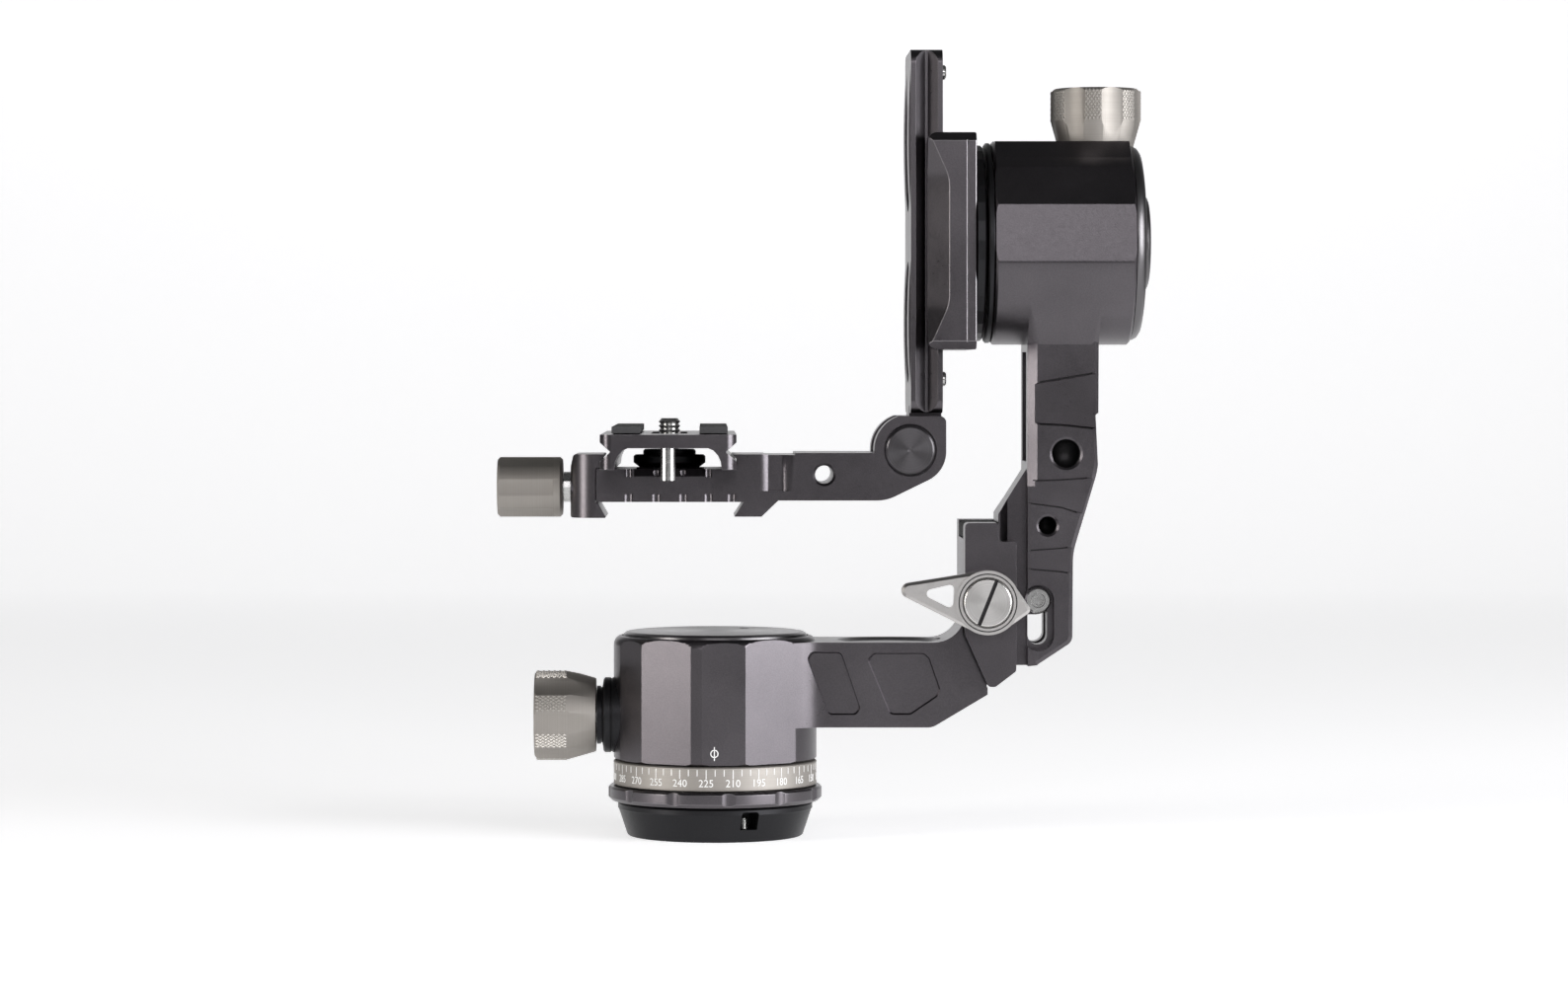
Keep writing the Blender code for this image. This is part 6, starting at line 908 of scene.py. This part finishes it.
def platform():
    """The bar with its hinge ears and the plate clamp's fixed half."""
    ear, top = 10.3, BAR_TOP
    low, bed_top, bed_low, foot_low = 97.0, 106.0, 96.6, 92.4
    edge = PLATE_X + PLATE_HALF + 0.3
    ear_top = 121.1
    rise = ear_top - HINGE_Z
    flat_turn = 180 - degrees(atan2(rise, sqrt(ear ** 2 - rise ** 2)))
    outline = rounded([(20, low, 0), (48.9, low, 12), (65.9, 105.3, 9), (65.9, ear_top, 1.8), (52, ear_top, 0)],
            10)[:-1]
    outline += arc((HINGE_X, HINGE_Z), ear, flat_turn, 184.2, 24)[:-1]
    outline += [(45.4, top), (22.8, top), (22.8, top - 0.6), (14.6, top - 0.6), (14.0, 110.2), (4.75, 110.2),
            (edge, 108.75), (edge, bed_top), (-34, bed_top), (-34, bed_low), (8.2, bed_low), (5.45, foot_low),
            (13.2, foot_low), (18.0, low)]
    bar = slab(outline, -BAR_HALF, BAR_HALF)
    work = cuts(box((45.67, -9.3, 95), (76.3, 9.3, 124)), box((43.4, -9.3, top), (HINGE_X, 9.3, 124)),
            rod(4.1, (HINGE_X, -36, HINGE_Z), 72, "Y", 48))
    for side in (-1, 1):
        near, far = sorted((side * 15.0, side * 20))
        work += cuts(rod(7.55, (HINGE_X, near, HINGE_Z), far - near, "Y", 96))
        waist = slab(rounded([(10.1, -19, 0), (15.2, -16.4, 1.6), (19.3, -16.4, 1.6), (23.9, -19, 0)], 8),
                99.7, top + 2, "Z")
        work += cuts(sided(waist, side))
        lead = slab([(-20, 101.9), (-18, 103.9), (-15.8, 106.1), (-15.8, 109), (-20, 109)], -23.2, -2.9, "X")
        work += cuts(sided(lead, side))
    work += cuts(turned([(0, -18.8), (4.1, -18.8), (2.6, -17.3), (2.6, 17.3), (4.1, 18.8), (0, 18.8)], BAR_HOLE,
            "Y", 48), box((-22.75, -14.6, 104.2), (-3.27, 14.6, 108)), rod(2.9, (-36, 0, 100.5), 36, "X"))
    for side in (-1, 1):
        work += joins(rod(1.8, (-41, side * BAR_GUIDE, 100.5), 9, "X", 24))
    for x in (-24.8, -16.9, -9.2, -2.0, 4.6):
        for side in (-1, 1):
            work += cuts(rod(1.5, (x, side * 18.75, 96.0), 2.8, "Z", 24))
            if x < 0:
                depth = 17.3 if -20 < x < -5 else 18.35
                work += cuts(rod(1.1, (x, side * depth, 103.7), 6, "Z", 24))
    grey_piece("platform_bar_machined", bar, work, 0.28, "platform", "platform_bar")

    for label, side in (("front", -1), ("rear", 1)):
        finish = lathed(f"hinge_cap_{label}_turned", (0.115, 0.110, 0.116), HINGE_AXIS, "Y", rough=(0.30, 0.38),
                lines=2600, depth=0.4, sheen_lines=0.8)
        cap = turned([(0, side * 17.9), (0.6, side * 17.9), (0.8, side * 18), (6.4, side * 18), (7.05, side * 17.5),
                (7.05, side * 15.3), (0, side * 15.3)], HINGE_AXIS, "Y", 96)
        finished(f"hinge_cap_{label}_turned", cap, (), 0, (finish,), "platform", "anodised_black",
                f"hinge_cap_{label}")

    jaw = slab(rounded([(-41.5, 92.0, 0.6), (-31.1, 92.0, 0.3), (-33.5, 96.3, 0), (-34.3, 96.3, 0),
            (-34.3, 106.3, 0), (-32.6, 106.3, 0), (-32.6, 108.75, 0), (-31.3, 110.2, 0.4), (-40.6, 110.2, 1.0),
            (-41.5, 106.4, 1.5)], 6), -17, 17)
    plan = slab(rounded([(-41.5, -17, 7.5), (-25, -17, 0), (-25, 17, 0), (-41.5, 17, 7.5)], 12), 85, 115, "Z")
    work = [("keep", plan), ("cut", rod(2.9, (-44, 0, 100.5), 14, "X"))]
    for side in (-1, 1):
        work += cuts(rod(2.1, (-44, side * BAR_GUIDE, 100.5), 14, "X", 24))
        work += cuts(rod(1.6, (-37.6, side * 17.9, 88), 26, "Z", 32))
    grey_piece("platform_jaw_machined", jaw, work, 0.3, "platform_jaw", "platform_jaw")


def quick_release_plate():
    """The plate with its pads, and the camera screw with its folding ring."""
    neck, top, low = PLATE_HALF - 2.9, PLATE_TOP, PLATE_LOW
    half = [(11.2, 112.4), (12.6, 111.8), (13.9, 110.4), (14.7, 108.6), (15.0, low), (PLATE_HALF, low),
            (PLATE_HALF, low + 2.2), (neck, low + 5.1 - 0.2), (neck, low + 5.1), (PLATE_HALF, top - 2.2),
            (PLATE_HALF, top)]
    outline = [(PLATE_X + x, z) for x, z in half] + [(PLATE_X - x, z) for x, z in reversed(half)]
    plate = slab(outline, -PLATE_REACH, PLATE_REACH)
    slot = slab(obround((PLATE_X, -21), (PLATE_X, 21), 3.475, 24), 109, 120, "Z")
    recess = slab(obround((PLATE_X, -21), (PLATE_X, 21), 5.2, 24), top - 0.6, 120, "Z")
    left, right = PLATE_X - PLATE_HALF, PLATE_X + PLATE_HALF
    plan = slab(rounded([(left, -PLATE_REACH, 3.5), (right, -PLATE_REACH, 3.5), (right, PLATE_REACH, 3.5),
            (left, PLATE_REACH, 3.5)], 8), 100, 120, "Z")
    work = [("keep", plan), ("cut", slot), ("cut", recess)]
    for y in (-47, 47):
        work += cuts(rod(2.35, (PLATE_X, y, low), 7.7, "Z"))
    grey_piece("quick_release_plate_machined", plate, work, 0.3, "plate", "quick_release_plate")
    for label, side in (("left", -1), ("right", 1)):
        middle = PLATE_X + 0.4 + side * 12.3
        pad = box((middle - 3.95, -45, 116.5), (middle + 3.95, 45, 118.4))
        ribs = [box((middle - 5, -42.4 + 3 * index, 117.75), (middle + 5, -41.6 + 3 * index, 119))
                for index in range(29)]
        finished(f"plate_grip_pad_{label}_ribbed", pad, cuts(gathered(ribs)), 0.15, (RUBBER,), "plate", "rubber",
                f"plate_grip_pad_{label}")

    thread = threaded(3.175, 2.6, 120.1, -0.64, range(13))
    screw = turned([(0, 120.4), (2.4, 120.4)] + thread + [(2.6, 110.0), (0, 110.0)], (PLATE_X, 0, 0), "Z", ROUND)
    finished("camera_screw_threaded", screw, (), 0, (STEEL,), "camera_screw", "steel", "camera_screw")
    head = turned([(0, 109.8), (2.7, 109.8), (2.7, 111.5), (7.1, 111.5), (7.6, 111.0), (7.6, 107.0), (7.2, 106.6),
            (0, 106.6)], (PLATE_X, 0, 0), "Z", ROUND)
    slot = box((PLATE_X - 0.8, -9, 105), (PLATE_X + 0.8, 9, 107.8))
    finished("camera_screw_head_slotted", head, cuts(slot), 0.1, DARK, "camera_screw", "anodised_black")
    ring = turned([(7.9, 109.9), (9.9, 109.9), (10.4, 109.4), (10.4, 107.6), (8.7, 106.3), (7.9, 106.3)],
            (PLATE_X, 0, 0), "Z", ROUND)
    finished("camera_screw_ring_turned", ring, (), 0, (BLACK,), "camera_screw", "anodised_black",
            "camera_screw_ring")


base_pieces()
pan_housing()
pan_trim()
lock_knob("pan", (-34.4, 0, PAN_KNOB_Z), "X", radians(31.9), "pan_knob")
arm_clamp()
upper_arm()
drum_trim()
lock_knob("tilt", (TILT_KNOB_X, 0, 197.8), "Z", radians(5.1), "tilt_knob")
rail_clamp()
plain_knob("rail_clamp", (69.7, 26.3, TILT_Z), "Y", 9.0, 3.5, 18.0, "rail_knob")
height_rail()
platform()
plain_knob("platform_clamp", (-41.8, 0, 100.5), "X", 8.65, 2.2, 18.8, "platform_knob")
quick_release_plate()

# Nodes whose shape is right keep it and take the finishes above
finishes = {"anodised_dark_grey": ANODISED, "anodised_black": BLACK, "anodised_titanium": TITANIUM,
            "satin_aluminium": SATIN, "steel": STEEL, "brass": BRASS, "rubber": RUBBER, "white_polymer": POLYMER}
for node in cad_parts.values():
    for holder in node.material_slots:
        found = [finish for slot, finish in finishes.items() if holder.material.name.startswith(slot)]
        if found:
            holder.material = found[0]


# Floor, lights and camera. Lights: name, place and size in metres, power in watts, colour.

SOFTBOXES = (
    ("left_softbox", (-1.12, -0.62, 0.22), (0.42, 0.9), 10.5, (1.0, 0.965, 0.93)),
    ("right_softbox", (1.0, -0.80, 0.22), (0.6, 0.9), 14.0, (0.98, 0.98, 1.0)),
    ("right_edge_softbox", (1.22, -0.42, 0.22), (0.42, 0.9), 9.0, (0.98, 0.98, 1.0)),
    ("front_softbox", (0.05, -1.75, 0.62), (0.9, 0.42), 4.0, (1.0, 0.98, 1.0)),
    ("upper_front_softbox", (0.08, -1.15, 1.02), (0.9, 0.3), 0.5, (1.0, 0.98, 1.0)),
)


def sweep_paper():
    """White paper with a painted pool of light: its emission and base colour are brighter behind the object and
    darker, as painted shade, towards the front, the sides and the top.
    """
    material, tree, shader = nodes_of("sweep_paper")
    place = object_place(tree)
    parts = tree.nodes.new("ShaderNodeSeparateXYZ")
    tree.links.new(place, parts.inputs["Vector"])

    def product(first, second):
        return calculated(tree, "ShaderNodeMath", "MULTIPLY", first, second).outputs["Value"]

    wide = calculated(tree, "ShaderNodeMath", "ABSOLUTE", parts.outputs["X"])
    front = ranged(tree, parts.outputs["Y"], 0.0, 1.0, -0.62, -0.36)
    wedge = calculated(tree, "ShaderNodeMath", "MULTIPLY_ADD", parts.outputs["Y"])
    wedge.inputs[1].default_value = -0.12
    tree.links.new(wide.outputs["Value"], wedge.inputs[2])
    side = ranged(tree, wedge.outputs["Value"], 1.0, 0.0, 0.42, 0.85)
    tall = ranged(tree, parts.outputs["Z"], 1.0, 0.0, 0.55, 1.0)
    # Painted pool of light: 1 behind the object, falling to 0 towards the front, the sides and the top
    painted_light_pool = product(product(front, side), tall)
    fibres = noise(tree, place, 260, 3)
    # Painted glow: the paper emits more inside the painted pool of light
    glow = ranged(tree, painted_light_pool, 0.10, 0.63, 0, 1)
    tree.links.new(glow, shader.inputs["Emission Strength"])
    # Painted shade: a darker base colour where the painted pool of light falls off
    tree.links.new(blended(tree, painted_light_pool, (0.30, 0.30, 0.305), (0.80, 0.80, 0.81)), shader.inputs["Base Color"])
    tree.links.new(blended(tree, ranged(tree, fibres, 0, 1), (0.985, 0.985, 0.99), (1.0, 1.0, 1.0)),
            shader.inputs["Emission Color"])
    shader.inputs["Roughness"].default_value = 0.9
    shader.inputs["Specular IOR Level"].default_value = 0.1
    return material


def studio():
    """A white paper sweep with a painted pool of light, softboxes low in front, and a dim room so that flat faces
    part in tone.
    """
    world = bpy.data.worlds.new("studio")
    world.use_nodes = True
    world.node_tree.nodes["Background"].inputs["Color"].default_value = (0.97, 0.98, 1.0, 1)
    world.node_tree.nodes["Background"].inputs["Strength"].default_value = 0.075
    bpy.context.scene.world = world

    sweep = [(-1800, 0), (1500, 0)] + arc((1500, 500), 500, -90, 0, 16)[1:] + [(2000, 2600)]
    drawn = bmesh.new()
    points = [drawn.verts.new((-2500, y, z)) for y, z in sweep]
    edges = [drawn.edges.new(pair) for pair in zip(points, points[1:])]
    raised = bmesh.ops.extrude_edge_only(drawn, edges=edges)["geom"]
    bmesh.ops.translate(drawn, verts=[part for part in raised if isinstance(part, bmesh.types.BMVert)],
            vec=(5000, 0, 0))
    floor = blank("studio_sweep", closed(drawn))
    floor.data.transform(Matrix.Scale(MM, 4))
    floor.data.shade_smooth()
    floor.data.materials.append(sweep_paper())

    middle = Vector((0.03, 0, 0.12))
    for name, place, size, power, colour in SOFTBOXES:
        light = bpy.data.lights.new(name, "AREA")
        light.shape = "RECTANGLE"
        light.size, light.size_y = size
        light.energy = power
        light.color = colour
        stand = bpy.data.objects.new(name, light)
        bpy.context.scene.collection.objects.link(stand)
        stand.location = place
        stand.rotation_euler = (middle - Vector(place)).to_track_quat("-Z", "Y").to_euler()

    camera = bpy.data.cameras.new("camera")
    camera.lens = 104.3
    camera.sensor_width = 36
    camera.shift_x = 0.049
    camera.shift_y = -0.0737
    viewer = bpy.data.objects.new("camera", camera)
    bpy.context.scene.collection.objects.link(viewer)
    viewer.location = (-0.0023, -1.314, 0.132)
    viewer.rotation_euler = (pi / 2, 0, 0)
    bpy.context.scene.camera = viewer
    bpy.context.scene.view_settings.view_transform = "Standard"


studio()
